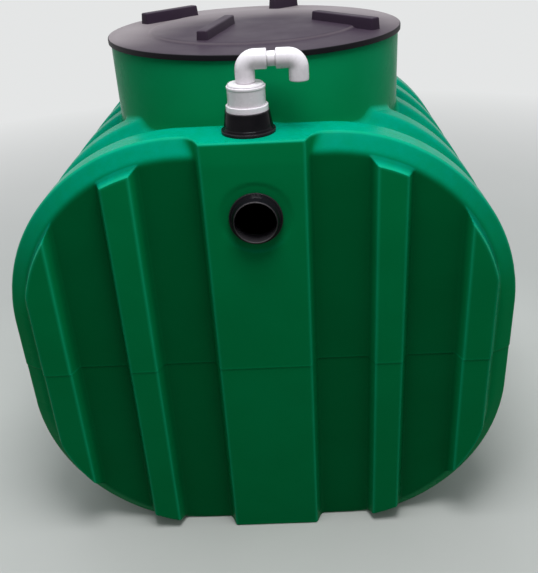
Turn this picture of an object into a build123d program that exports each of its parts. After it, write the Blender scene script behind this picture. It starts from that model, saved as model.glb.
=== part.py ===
from build123d import *
import os
from math import asin, atan2, cos, degrees, radians, sin, tan

# Grease trap: a hollow moulded plastic tank with ribbed ends, a manhole neck and lid,
# pipe grommets and a gooseneck vent. Millimetres, +Z up, the ends face -Y and +Y,
# the origin is on the ground under the middle of the tank.

# Driving dimensions of the tank outline, seen along Y
BODY_WIDTH = 980.0
BODY_HEIGHT = 880.0
TOP_FLAT = 258.0
BOTTOM_CUT = 32.0
WALL = 8.0

# Driving dimensions of the hoops round the barrel
HOOP_COUNT = 5
END_HOOP_SETBACK = 36.0
HOOP_CREST = 64.0
HOOP_FLANK = 20.0
HOOP_DEPTH = 26.0
HOOP_EDGE = 5.0

# Driving dimensions of the ribbed ends
RIB_HEIGHT = 28.0
BAND_DEPTH = 20.0
BAND_INSET = 32.0
FACE_INSET = 40.0
RIB_TOP_DRAFT = 6.0
MIDDLE_RIB_WIDTH = 181.0
MIDDLE_RIB_FLARE = 17.0
RIB_GAP = 124.0
INNER_RIB_WIDTH = 53.0
OUTER_RIB_SETBACK = 50.0
OUTER_RIB_WIDTH = 54.0
RIB_DRAFT = 11.0
RIB_EDGE_R = 6.0

# Driving dimensions of the manhole neck and the lid
NECK_OUTER_R = 296.0
NECK_RISE = 115.0
LID_PLATE = 6.0
LID_LIP = 3.5
LID_LIP_DROP = 4.0
LID_LIP_CLEARANCE = 1.5
LID_EDGE_R = 2.0
LID_MIDDLE_R = 212.0
LID_MIDDLE_RISE = 5.0
LUG_WIDTH = 24.0
LUG_HEIGHT = 22.0
LUG_TAPER = 4.0
# Each lug: distance of its middle from the lid's edge, bearing round the lid, length, direction
LUGS = [
    (57.0, 143.0, 144.0, 44.0),
    (196.0, 226.5, 196.0, 78.0),
    (112.0, -13.0, 178.0, -50.0),
    (31.0, 77.0, 74.0, 40.0),
]

# Driving dimensions of the pipe grommets
PORT_DROP = 138.0
PAD_R = 64.0
PAD_DEPTH = 1.5
PIPE_R = 37.0
GROMMET_FLANGE_R = 48.0
GROMMET_FLANGE = 6.0
GROMMET_BODY_R = 45.0
GROMMET_TOP_R = 39.0
PORT_GROMMET_HEIGHT = 22.0
VENT_GROMMET_HEIGHT = 38.5
GROMMET_NECK_R = 40.5
GROMMET_LIP_R = 42.0
GROMMET_LIP = 7.0

# Driving dimensions of the vent
VENT_X = -6.0
VENT_GAP = 2.5
STUB_BELOW = 30.0
STUB_SHOWN = 9.5
STUB_WALL = 3.8
COUPLING_R = 33.0
COUPLING_WALL = 3.0
COUPLING_SHOWN = 32.0
COUPLING_PLUG = 18.0
BUSH_R = 31.5
BUSH_HEAD = 4.0
BUSH_PLUG = 16.0
THIN_PIPE_R = 12.5
THIN_PIPE_WALL = 2.2
ELBOW_R = 17.0
ELBOW_LEG = 38.0
ELBOW_BEND_R = 17.5
ELBOW_SOCKET = 19.0
LINK_SHOWN = 15.0
SLIP = 0.15

# Places worked out from the driving dimensions
HALF_WIDTH = BODY_WIDTH / 2
CORNER_X = TOP_FLAT / 2
CORNER_R = HALF_WIDTH - CORNER_X
UPPER_ARC_Z = BODY_HEIGHT - CORNER_R
LOWER_ARC_Z = CORNER_R - BOTTOM_CUT
PARTING_Z = (UPPER_ARC_Z + LOWER_ARC_Z) / 2
END_HOOP_Y = NECK_OUTER_R + END_HOOP_SETBACK
HOOP_PITCH = 2 * END_HOOP_Y / (HOOP_COUNT - 1)
END_PLANE_Y = END_HOOP_Y + HOOP_CREST / 2
PANEL_Y = END_PLANE_Y + BAND_DEPTH
FACE_Y = PANEL_Y + RIB_HEIGHT
INNER_RIB_X = MIDDLE_RIB_WIDTH / 2 + RIB_GAP + INNER_RIB_WIDTH / 2
OUTER_RIB_X = HALF_WIDTH - OUTER_RIB_SETBACK - OUTER_RIB_WIDTH / 2
NECK_TOP_Z = BODY_HEIGHT + NECK_RISE
NECK_INNER_R = NECK_OUTER_R - WALL
LID_R = NECK_OUTER_R + LID_LIP_CLEARANCE + LID_LIP
PORT_Z = BODY_HEIGHT - PORT_DROP
PAD_Y = FACE_Y - PAD_DEPTH
VENT_Y = -(NECK_OUTER_R + VENT_GAP + GROMMET_FLANGE_R)
FAR = 2 * BODY_WIDTH


def upright_plane(y):
    """Plane across the tank at y, with its x along X and its y up."""
    return Plane(origin=(0, y, 0), x_dir=(1, 0, 0), z_dir=(0, -1, 0))


def outline(inset, foot):
    """Tank outline as a flat face, drawn in from the hoop crests by inset and cut flat at foot."""
    r = CORNER_R - inset
    low = max(foot, LOWER_ARC_Z - r)
    foot_angle = degrees(asin((LOWER_ARC_Z - low) / r))
    upper_right = CenterArc((CORNER_X, UPPER_ARC_Z), r, 0, 90)
    upper_left = CenterArc((-CORNER_X, UPPER_ARC_Z), r, 90, 90)
    lower_left = CenterArc((-CORNER_X, LOWER_ARC_Z), r, 180, foot_angle)
    lower_right = CenterArc((CORNER_X, LOWER_ARC_Z), r, -foot_angle, foot_angle)
    top = Line(upper_right @ 1, upper_left @ 0)
    left = Line(upper_left @ 1, lower_left @ 0)
    bottom = Line(lower_left @ 1, lower_right @ 0)
    right = Line(lower_right @ 1, upper_right @ 0)
    edges = [upper_right, top, upper_left, left, lower_left, bottom, lower_right, right]
    return make_face(Wire(edges))


def hoop_section(inset, y):
    """Barrel outline set across the tank at y, drawn in all round."""
    return upright_plane(y) * outline(inset, inset)


def end_section(inset, skin, y):
    """End outline set across the tank at y, whose foot stays as low as the hoops' but for skin."""
    return upright_plane(y) * outline(inset + skin, skin)


def barrel_form(skin):
    """Hooped barrel as one solid, every surface moved in by skin."""
    shift = skin * tan(atan2(HOOP_DEPTH, HOOP_FLANK) / 2)
    crest_half = HOOP_CREST / 2 - shift
    edge_run = HOOP_EDGE * HOOP_FLANK / HOOP_DEPTH
    # Half of one hoop, from its crest down to the valley: distance from its middle, depth
    half_hoop = [
        (crest_half - HOOP_EDGE, 0),
        (crest_half + edge_run, HOOP_EDGE),
        (crest_half + HOOP_FLANK - edge_run, HOOP_DEPTH - HOOP_EDGE),
        (crest_half + HOOP_FLANK + HOOP_EDGE, HOOP_DEPTH),
    ]
    stations = [hoop_section(skin, -END_PLANE_Y)]
    for index in range(HOOP_COUNT):
        y = index * HOOP_PITCH - END_HOOP_Y
        if index > 0:
            stations += [hoop_section(depth + skin, y - away) for away, depth in reversed(half_hoop)]
        if index < HOOP_COUNT - 1:
            stations += [hoop_section(depth + skin, y + away) for away, depth in half_hoop]
    stations.append(hoop_section(skin, END_PLANE_Y))
    return loft(stations, ruled=True)


def rib_prism(x, width, skin, flare=0.0):
    """Upright rib at x on the front end, widening from its face to its root and by flare behind."""
    face_half = width / 2 - skin
    foot_half = face_half + RIB_DRAFT
    rows = [
        (skin - FACE_Y, face_half),
        (skin - PANEL_Y, foot_half),
        (-END_PLANE_Y, foot_half + flare),
    ]
    across = [upright_plane(y) * Pos(x, 0) * Rectangle(2 * half, FAR) for y, half in rows]
    return loft(across, ruled=True)


def soften(rib, skin):
    """Round the two upright edges of a rib's face, on the outside only."""
    if skin > 0:
        return rib
    return fillet(rib.faces().sort_by(Axis.Y)[0].edges().filter_by(Axis.Z), RIB_EDGE_R)


def end_form(skin):
    """Ribbed front end as one solid in front of the barrel, every surface moved in by skin."""
    root = end_section(0, skin, -END_PLANE_Y)
    form = loft([root, end_section(BAND_INSET, skin, skin - PANEL_Y)], ruled=True)
    full = extrude(root, amount=FACE_Y - END_PLANE_Y - skin)
    form += soften(rib_prism(0, MIDDLE_RIB_WIDTH, skin, MIDDLE_RIB_FLARE) & full, skin)
    # The ends of the other ribs lean in a little, from the end of the barrel to their faces
    back_inset = FACE_INSET - RIB_TOP_DRAFT * (FACE_Y - END_PLANE_Y) / RIB_HEIGHT
    back = end_section(back_inset, skin, -END_PLANE_Y)
    lowered = loft([back, end_section(FACE_INSET, skin, skin - FACE_Y)], ruled=True)
    for side in (-1, 1):
        form += soften(rib_prism(side * INNER_RIB_X, INNER_RIB_WIDTH, skin) & lowered, skin)
        form += soften(rib_prism(side * OUTER_RIB_X, OUTER_RIB_WIDTH, skin) & lowered, skin)
    return form


def upright_cylinder(r, z_low, z_high, x=0.0, y=0.0):
    """Upright cylinder between two heights."""
    return Pos(x, y, z_low) * Cylinder(r, z_high - z_low, align=(Align.CENTER, Align.CENTER, Align.MIN))


def turned(points):
    """Solid turned round Z from (radius, height) points."""
    return revolve(Plane.XZ * make_face(Polyline(points, close=True)), Axis.Z)


def grommet(wall, height):
    """Rubber grommet on the wall's outer face at z 0, with its bore along Z, as high as height."""
    return turned([
        (PIPE_R, -wall - GROMMET_LIP),
        (GROMMET_NECK_R, -wall - GROMMET_LIP),
        (GROMMET_LIP_R, -wall),
        (GROMMET_NECK_R, -wall),
        (GROMMET_NECK_R, 0),
        (GROMMET_FLANGE_R, 0),
        (GROMMET_FLANGE_R, GROMMET_FLANGE),
        (GROMMET_BODY_R, GROMMET_FLANGE),
        (GROMMET_TOP_R, height),
        (PIPE_R, height),
    ])


def tube(outer_r, wall, length):
    """Plain pipe standing on z 0."""
    return upright_cylinder(outer_r, 0, length) - upright_cylinder(outer_r - wall, 0, length)


def elbow():
    """Elbow with its corner at the origin, one leg down and one leg along +X."""
    straight = ELBOW_LEG - ELBOW_BEND_R
    down = Line((0, 0, -ELBOW_LEG), (0, 0, -ELBOW_BEND_R))
    corner = ELBOW_BEND_R * (1 - sin(radians(45)))
    bend = ThreePointArc((0, 0, -ELBOW_BEND_R), (corner, 0, -corner), (ELBOW_BEND_R, 0, 0))
    along = Line((ELBOW_BEND_R, 0, 0), (ELBOW_LEG, 0, 0))
    path = Wire([down, bend, along])
    start = Plane(origin=(0, 0, -ELBOW_LEG), z_dir=(0, 0, 1))
    body = sweep(start * Circle(ELBOW_R), path=path)
    bore = sweep(start * Circle(THIN_PIPE_R - THIN_PIPE_WALL), path=path)
    socket_r = THIN_PIPE_R + SLIP
    low_socket = upright_cylinder(socket_r, -ELBOW_LEG, ELBOW_SOCKET - ELBOW_LEG)
    side_socket = Pos(ELBOW_LEG, 0, 0) * Rot(0, -90, 0) * upright_cylinder(socket_r, 0, ELBOW_SOCKET)
    return body - bore - low_socket - side_socket


def lid():
    """Round lid on the neck, with a raised middle, a lip round the neck and lugs."""
    top = NECK_TOP_Z + LID_PLATE
    step = LID_MIDDLE_R + LID_MIDDLE_RISE
    lip_z = NECK_TOP_Z - LID_LIP_DROP
    form = turned([
        (0, NECK_TOP_Z + LID_MIDDLE_RISE),
        (LID_MIDDLE_R, NECK_TOP_Z + LID_MIDDLE_RISE),
        (step, NECK_TOP_Z),
        (LID_R - LID_LIP, NECK_TOP_Z),
        (LID_R - LID_LIP, lip_z),
        (LID_R, lip_z),
        (LID_R, top),
        (step, top),
        (LID_MIDDLE_R, top + LID_MIDDLE_RISE),
        (0, top + LID_MIDDLE_RISE),
    ])
    form = fillet(form.edges().filter_by(GeomType.CIRCLE).sort_by(SortBy.RADIUS)[-1], LID_EDGE_R)
    for from_edge, bearing, length, direction in LUGS:
        away = LID_R - from_edge
        x, y = away * cos(radians(bearing)), away * sin(radians(bearing))
        foot = Pos(x, y, top - LID_PLATE / 2) * Rot(0, 0, direction) * Rectangle(length, LUG_WIDTH)
        form += extrude(foot, amount=LUG_HEIGHT + LID_PLATE / 2, taper=LUG_TAPER)
    return form


def write(name, shape):
    """Write one node, named after its file."""
    shape.label = name
    export_step(shape, f"parts/{name}.step")


os.makedirs("parts", exist_ok=True)

# Barrel, cut out for the neck and the vent grommet, whose inner lip has a seat under the wall
vent_low, wall_under = BODY_HEIGHT - 3 * WALL, BODY_HEIGHT - WALL
vent_hole = upright_cylinder(GROMMET_NECK_R, vent_low, BODY_HEIGHT + WALL, VENT_X, VENT_Y)
vent_hole += upright_cylinder(GROMMET_LIP_R, vent_low, wall_under, VENT_X, VENT_Y)
barrel_inside = barrel_form(WALL)
barrel = barrel_form(0) - barrel_inside
barrel -= upright_cylinder(NECK_OUTER_R, UPPER_ARC_Z, NECK_TOP_Z) + vent_hole
parting = Plane.XY.offset(PARTING_Z)
write("lower_shell", split(barrel, bisect_by=parting, keep=Keep.BOTTOM))
write("upper_shell", split(barrel, bisect_by=parting, keep=Keep.TOP))

# Ribbed ends with a shallow round pad at the port, the rear one the mirror of the front one
port_axis = Plane(origin=(0, -PAD_Y, PORT_Z), z_dir=(0, -1, 0))
port_cut = upright_cylinder(GROMMET_NECK_R, -2 * WALL, 0) + upright_cylinder(PAD_R, 0, WALL)
ported_end = end_form(0) - end_form(WALL) - port_axis * port_cut
front_end = ported_end - vent_hole
rear_end = mirror(ported_end, about=Plane.XZ)
for name, end in (("front", front_end), ("rear", rear_end)):
    write(f"{name}_end_lower", split(end, bisect_by=parting, keep=Keep.BOTTOM))
    write(f"{name}_end_upper", split(end, bisect_by=parting, keep=Keep.TOP))

# Manhole neck, whose foot follows the inside of the barrel, and its lid
neck = upright_cylinder(NECK_OUTER_R, UPPER_ARC_Z, NECK_TOP_Z)
neck -= upright_cylinder(NECK_INNER_R, UPPER_ARC_Z, NECK_TOP_Z)
write("manhole_neck", neck - barrel_inside)
write("lid", lid())

# Pipe grommets
port_grommet = port_axis * grommet(WALL - PAD_DEPTH, PORT_GROMMET_HEIGHT)
write("front_port_grommet", port_grommet)
write("rear_port_grommet", mirror(port_grommet, about=Plane.XZ))
write("vent_grommet", Pos(VENT_X, VENT_Y, BODY_HEIGHT) * grommet(WALL, VENT_GROMMET_HEIGHT))

# Vent, from the tank upwards, each piece standing in the one below
stub_low = BODY_HEIGHT - STUB_BELOW
stub_top = BODY_HEIGHT + VENT_GROMMET_HEIGHT + STUB_SHOWN
stub = tube(PIPE_R - SLIP, STUB_WALL, stub_top - stub_low)
write("vent_stub_pipe", Pos(VENT_X, VENT_Y, stub_low) * stub)

coupling_top = stub_top + COUPLING_SHOWN
coupling = tube(COUPLING_R, COUPLING_WALL, COUPLING_SHOWN + COUPLING_PLUG)
write("vent_coupling", Pos(VENT_X, VENT_Y, stub_top - COUPLING_PLUG) * coupling)

bush = upright_cylinder(BUSH_R, 0, BUSH_HEAD)
bush += upright_cylinder(COUPLING_R - COUPLING_WALL - SLIP, -BUSH_PLUG, 0)
bush -= upright_cylinder(THIN_PIPE_R + SLIP, -BUSH_PLUG, BUSH_HEAD)
write("vent_reducing_bush", Pos(VENT_X, VENT_Y, coupling_top) * bush)

elbow_z = coupling_top + BUSH_HEAD + ELBOW_LEG
riser_low = coupling_top - BUSH_PLUG
riser = tube(THIN_PIPE_R, THIN_PIPE_WALL, elbow_z - ELBOW_LEG + ELBOW_SOCKET - riser_low)
write("vent_riser_pipe", Pos(VENT_X, VENT_Y, riser_low) * riser)

write("vent_elbow_lower", Pos(VENT_X, VENT_Y, elbow_z) * elbow())
link_x = VENT_X + ELBOW_LEG - ELBOW_SOCKET
link_length = LINK_SHOWN + 2 * ELBOW_SOCKET
link = Rot(0, 90, 0) * tube(THIN_PIPE_R, THIN_PIPE_WALL, link_length)
write("vent_link_pipe", Pos(link_x, VENT_Y, elbow_z) * link)
upper_x = VENT_X + 2 * ELBOW_LEG + LINK_SHOWN
write("vent_elbow_upper", Pos(upper_x, VENT_Y, elbow_z) * Rot(0, 0, 180) * elbow())
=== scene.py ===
import logging
import math
from dataclasses import dataclass, field
from enum import Enum

import bmesh
import bpy
import numpy as np
from mathutils import Matrix, Vector


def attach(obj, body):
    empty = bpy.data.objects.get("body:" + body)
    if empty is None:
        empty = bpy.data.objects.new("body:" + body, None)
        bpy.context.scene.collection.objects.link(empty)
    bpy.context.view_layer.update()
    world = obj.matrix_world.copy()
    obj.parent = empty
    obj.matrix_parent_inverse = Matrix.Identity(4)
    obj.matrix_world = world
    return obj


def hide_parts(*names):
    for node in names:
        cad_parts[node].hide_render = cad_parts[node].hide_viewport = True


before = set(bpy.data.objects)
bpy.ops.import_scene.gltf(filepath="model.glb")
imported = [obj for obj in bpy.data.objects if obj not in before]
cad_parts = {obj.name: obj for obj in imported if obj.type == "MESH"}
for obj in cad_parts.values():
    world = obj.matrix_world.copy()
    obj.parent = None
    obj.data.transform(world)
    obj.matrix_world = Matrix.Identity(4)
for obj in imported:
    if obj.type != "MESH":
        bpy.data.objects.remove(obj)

# Finished surfaces of a moulded grease trap tank. Lengths are in millimetres in the tank's
# frame, with +Z up and the ends facing -Y and +Y, and become metres when a mesh is made.
LOG = logging.getLogger("grease_trap")
MM = 0.001
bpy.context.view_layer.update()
Triple = tuple[float, float, float]
Socket = bpy.types.NodeSocket
ORIGIN = (0.0, 0.0, 0.0)
QUARTER = math.pi / 2

# Metres within which points are merged, and below which an edge is dropped
MERGE_WITHIN = 0.00002
SLIVER = 0.000005
# The mould's joint: rows of points about it, the height of its step, and the distance from the
# middle of the tank at which its sides start to step back and are fully back
JOINT_ROWS = np.array([-4.0, -2.2, -1.1, 0.0, 1.1, 2.2, 4.0])
STEP_HEIGHT = 2.0
SIDES_FROM, SIDES_FULL = 300.0, 400.0
# Directions of the columns that follow the round opening where it is nearly square to them
OPENING_ANGLES = np.radians([60, 66, 71, 75, 78, 81, 83.5, 85.5, 87, 88.5, 90])
# Distances from a rib's foot at which an end wall has columns, and insets at which it has rows
FLANK_PLACES = np.array([-5.0, -2.5, 0.0, 2.5, 5.0, 7.5, 9.5, 11.0, 12.2, 13.5, 16.5])
ROW_INSETS = [9.5, 12.5, 16, 19.5, 23, 26, 28.5, 30.5, 32, 33.5, 35, 36.5, 38, 39.5, 41, 43, 46, 50]
# Depth that stands for no form at all
NOWHERE = -99.0


class Body(Enum):
    """The two parts that move apart when the trap is opened."""

    TANK = "tank"
    LID = "lid"


class Slot(Enum):
    """The finishes of the pieces."""

    TANK = "tank_plastic"
    LID = "lid_plastic"
    RUBBER = "grommet_rubber"
    PIPE = "white_pipe"


def smooth_low(a: np.ndarray, b: np.ndarray, reach: float) -> np.ndarray:
    """Lower of two heights, less a quarter of reach times the square of their nearness in reaches."""
    near = np.clip(1.0 - np.abs(a - b) / reach, 0.0, 1.0)
    return np.minimum(a, b) - near * near * reach / 4.0


def smooth_high(a: np.ndarray, b: np.ndarray, reach: float) -> np.ndarray:
    """Higher of two heights with a rounded changeover, the mirror of smooth_low."""
    return -smooth_low(-a, -b, reach)


def eased(share: np.ndarray) -> np.ndarray:
    """Smooth step: three times the square less twice the cube of a share held in 0 to 1."""
    held = np.clip(share, 0.0, 1.0)
    return held * held * (3.0 - 2.0 * held)


def bell(distance: np.ndarray, width: float) -> np.ndarray:
    """Bell curve: e to the power of minus the square of the distance, counted in widths."""
    return np.exp(-((distance / width) ** 2))


def between(first: float, last: float, parts: int) -> np.ndarray:
    """Places strictly between two values that divide their distance into equal parts."""
    return np.linspace(first, last, parts + 1)[1:-1]


def softened(corners: np.ndarray, cut: float | np.ndarray, steps: int, closed: bool) -> np.ndarray:
    """Polyline whose corners are drawn round.

    Each corner becomes a parabola from a point cut before it to a point cut after it, at most
    0.45 of the way along each run: (1-t)^2 A + 2t(1-t) C + t^2 B for t from 0 to 1.

    Args:
        corners: The corner points, one row each.
        cut: Distance cut off on each side of a corner, one value or one for each corner.
        steps: Number of divisions of each corner.
        closed: Whether the last corner runs back to the first.

    Returns:
        The rounded line's points, without a repeated last point when it is closed.
    """
    before, after = np.roll(corners, 1, axis=0), np.roll(corners, -1, axis=0)
    to_before, to_after = before - corners, after - corners
    run_before = np.linalg.norm(to_before, axis=1)
    run_after = np.linalg.norm(to_after, axis=1)
    amount = np.minimum(np.broadcast_to(cut, run_before.shape), 0.45 * np.minimum(run_before, run_after))
    if not closed:
        amount = np.where(np.arange(len(corners)) % (len(corners) - 1) == 0, 0.0, amount)
    a = corners + to_before * (amount / np.maximum(run_before, 1e-9))[:, None]
    b = corners + to_after * (amount / np.maximum(run_after, 1e-9))[:, None]
    t = np.linspace(0.0, 1.0, steps + 1)[None, :, None]
    curve = (1 - t) ** 2 * a[:, None] + 2 * t * (1 - t) * corners[:, None] + t**2 * b[:, None]
    points = curve.reshape(-1, corners.shape[1])
    apart = np.linalg.norm(np.diff(points, axis=0), axis=1) > 1e-6
    return points[np.concatenate([[True], apart])]


def filled(line: np.ndarray, longest: float) -> np.ndarray:
    """Line with its long runs divided evenly.

    Args:
        line: Points of an open line, one row each.
        longest: Longest run that stays whole.

    Returns:
        Points interpolated at even shares of each run.
    """
    runs = np.linalg.norm(np.diff(line, axis=0), axis=1)
    parts = np.maximum(np.ceil(runs / longest).astype(int), 1)
    run = np.repeat(np.arange(len(runs)), parts)
    share = np.concatenate([[0], np.cumsum(parts)[:-1]])
    inside = (np.arange(parts.sum()) - share[run]) / parts[run]
    points = line[run] + (line[run + 1] - line[run]) * inside[:, None]
    return np.vstack([points, line[-1:]])


def filled_ring(line: np.ndarray, longest: float) -> np.ndarray:
    """Closed line with its long runs divided evenly, its first point not repeated."""
    return filled(np.vstack([line, line[:1]]), longest)[:-1]


@dataclass
class Surface:
    """Points with the faces between them.

    Attributes:
        points: Places in millimetres, one row each.
        faces: Arrays of corner numbers, one row for each face.
        marks: Two shares for each point, of the painted shade (dirt on the pipe) and of the
        painted light, or None where there are neither.
    """

    points: np.ndarray
    faces: list[np.ndarray]
    marks: np.ndarray | None = None

    @classmethod
    def grid(
        cls, points: np.ndarray, keep: np.ndarray | None = None, around: bool = False, along: bool = False
    ) -> "Surface":
        """Grid of points as four-sided faces between neighbours.

        Args:
            points: Array of rows, columns and three coordinates.
            keep: Mask of the faces that stay, or None for all of them.
            around: Whether the last column joins the first.
            along: Whether the last row joins the first.

        Returns:
            The surface.
        """
        rows, columns = points.shape[:2]
        number = np.arange(rows * columns).reshape(rows, columns)
        if around:
            number = np.hstack([number, number[:, :1]])
        if along:
            number = np.vstack([number, number[:1]])
        quads = np.stack([number[:-1, :-1], number[:-1, 1:], number[1:, 1:], number[1:, :-1]], axis=-1)
        chosen = quads.reshape(-1, 4) if keep is None else quads[keep]
        return cls(points.reshape(-1, 3), [chosen])

    def marked(self, painted_shade_and_dirt: np.ndarray, painted_light: np.ndarray) -> "Surface":
        """Copy with its two shares set."""
        return Surface(self.points, self.faces, np.column_stack([painted_shade_and_dirt.ravel(), painted_light.ravel()]))

    def shares(self) -> np.ndarray:
        """Both shares of every point, which are 0 where none are set."""
        return np.zeros((len(self.points), 2)) if self.marks is None else self.marks

    def joined(self, *others: "Surface") -> "Surface":
        """This surface and others as one.

        Args:
            others: Surfaces whose corner numbers follow on from this one's.

        Returns:
            The one surface.
        """
        points, faces, first = [self.points], list(self.faces), len(self.points)
        for other in others:
            points.append(other.points)
            faces += [corners + first for corners in other.faces]
            first += len(other.points)
        marks = np.vstack([self.shares(), *[other.shares() for other in others]])
        return Surface(np.vstack(points), faces, marks)

    def placed(self, turn: Matrix | None = None, shift: Triple = ORIGIN) -> "Surface":
        """Copy that is turned about the origin and then shifted."""
        turned = self.points if turn is None else self.points @ np.array(turn.to_3x3()).T
        return Surface(turned + np.array(shift), self.faces, self.marks)

    def mirrored(self, axis: int) -> "Surface":
        """Copy mirrored across the plane through the origin at right angles to an axis."""
        sign = np.where(np.arange(3) == axis, -1.0, 1.0)
        return Surface(self.points * sign, [corners[:, ::-1] for corners in self.faces], self.marks)

    def mesh(self, name: str, crease: float) -> bpy.types.Mesh:
        """Closed mesh in metres, with repeated points merged and its faces turned outwards.

        Args:
            name: Name of the mesh.
            crease: Angle in degrees above which an edge stays sharp.

        Returns:
            The mesh, which carries both shares as attributes.
        """
        corners = np.concatenate([block.ravel() for block in self.faces])
        sizes = np.concatenate([np.full(len(block), block.shape[1]) for block in self.faces])
        starts = np.concatenate([[0], np.cumsum(sizes)[:-1]])
        mesh = bpy.data.meshes.new(name)
        mesh.vertices.add(len(self.points))
        mesh.loops.add(len(corners))
        mesh.polygons.add(len(sizes))
        mesh.vertices.foreach_set("co", (self.points * MM).astype(np.float32).ravel())
        mesh.loops.foreach_set("vertex_index", corners.astype(np.int32))
        mesh.polygons.foreach_set("loop_start", starts.astype(np.int32))
        mesh.update(calc_edges=True)
        # The first share is painted shade (dirt at the pipe's joints), the second painted highlights and
        # painted light.
        for column, label in enumerate(("painted_shade_and_dirt", "painted_light")):
            layer = mesh.attributes.new(label, "FLOAT", "POINT")
            layer.data.foreach_set("value", self.shares()[:, column].astype(np.float32))
        mesh.validate()
        work = bmesh.new()
        work.from_mesh(mesh)
        bmesh.ops.remove_doubles(work, verts=work.verts, dist=MERGE_WITHIN)
        bmesh.ops.dissolve_degenerate(work, edges=work.edges, dist=SLIVER)
        bmesh.ops.recalc_face_normals(work, faces=work.faces)
        work.to_mesh(mesh)
        work.free()
        mesh.shade_smooth()
        mesh.set_sharp_from_angle(angle=math.radians(crease))
        return mesh


@dataclass
class Piece:
    """One finished piece and where it belongs.

    Attributes:
        name: Name of the piece.
        surface: Its closed surface.
        body: What it moves with.
        slot: Its finish.
        stands_for: The CAD nodes that it replaces.
        crease: Angle in degrees above which an edge stays sharp.
    """

    name: str
    surface: Surface
    body: Body
    slot: Slot
    stands_for: tuple[str, ...]
    crease: float = 50.0

    def build(self, material: bpy.types.Material) -> None:
        """Make the object, dress it and put it on its body.

        Args:
            material: Its finish.
        """
        thing = bpy.data.objects.new(self.name, self.surface.mesh(self.name, self.crease))
        bpy.context.scene.collection.objects.link(thing)
        thing.data.materials.append(material)
        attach(thing, self.body.value)
        if self.stands_for:
            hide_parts(*self.stands_for)
        LOG.info("%s: %d faces", self.name, len(thing.data.polygons))


@dataclass
class NodeGraph:
    """Short way to lay out the nodes of one material or world.

    Attributes:
        owner: The material or the world.
    """

    owner: bpy.types.Material | bpy.types.World

    def link(self, value: Socket, socket: Socket) -> None:
        """Join an output to an input."""
        self.owner.node_tree.links.new(value, socket)

    def feed(self, socket: Socket, value: object) -> None:
        """Join an output to an input, or set the input where a plain value is given.

        Args:
            socket: The input.
            value: The output or the plain value.
        """
        if isinstance(value, Socket):
            self.link(value, socket)
        else:
            socket.default_value = value

    def node(self, kind: str, **values: object) -> bpy.types.Node:
        """Add a node.

        Args:
            kind: Type of the node.
            values: Its properties by name, and its inputs by name with underscores or as i0, i1.

        Returns:
            The node.
        """
        made = self.owner.node_tree.nodes.new(kind)
        for key, value in values.items():
            if hasattr(made, key):
                setattr(made, key, value)
            elif key[0] == "i" and key[1:].isdigit():
                self.feed(made.inputs[int(key[1:])], value)
            else:
                self.feed(made.inputs[key.replace("_", " ")], value)
        return made

    def object_place(self) -> Socket:
        """Place on the piece, in Object coordinates."""
        return self.node("ShaderNodeTexCoord").outputs["Object"]

    def noise(self, place: Socket, scale: float, detail: float = 3.0, rough: float = 0.5) -> Socket:
        """Cloudy pattern, with scale in waves for each metre."""
        made = self.node("ShaderNodeTexNoise", Vector=place, Scale=scale, Detail=detail, Roughness=rough)
        return made.outputs["Fac"]

    def ramp(self, value: Socket, low: float, high: float, start: float = 0.0, end: float = 1.0) -> Socket:
        """Value mapped from low..high onto start..end and held there."""
        span = {"From_Min": low, "From_Max": high, "To_Min": start, "To_Max": end}
        return self.node("ShaderNodeMapRange", Value=value, **span).outputs["Result"]

    def mix(self, share: Socket, first: object, second: object) -> Socket:
        """Mix of two colours, whose inputs on the node are numbers 0, 6 and 7 and its output 2."""
        return self.node("ShaderNodeMix", data_type="RGBA", i0=share, i6=first, i7=second).outputs[2]

    def sums(self, operation: str, first: object, second: object) -> Socket:
        """Result of one sum on two values."""
        return self.node("ShaderNodeMath", operation=operation, i0=first, i1=second).outputs[0]

    def share(self, label: str) -> Socket:
        """Share that the mesh carries under a label."""
        return self.node("ShaderNodeAttribute", attribute_name=label).outputs["Fac"]

    def seen(self) -> Socket:
        """Whether a ray comes from the camera or was sent on by gloss or glass.

        Returns:
            1 for such rays and 0 for others.
        """
        path = self.node("ShaderNodeLightPath").outputs
        direct = self.sums("MAXIMUM", path["Is Camera Ray"], path["Is Glossy Ray"])
        return self.sums("MAXIMUM", direct, path["Is Transmission Ray"])


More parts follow.
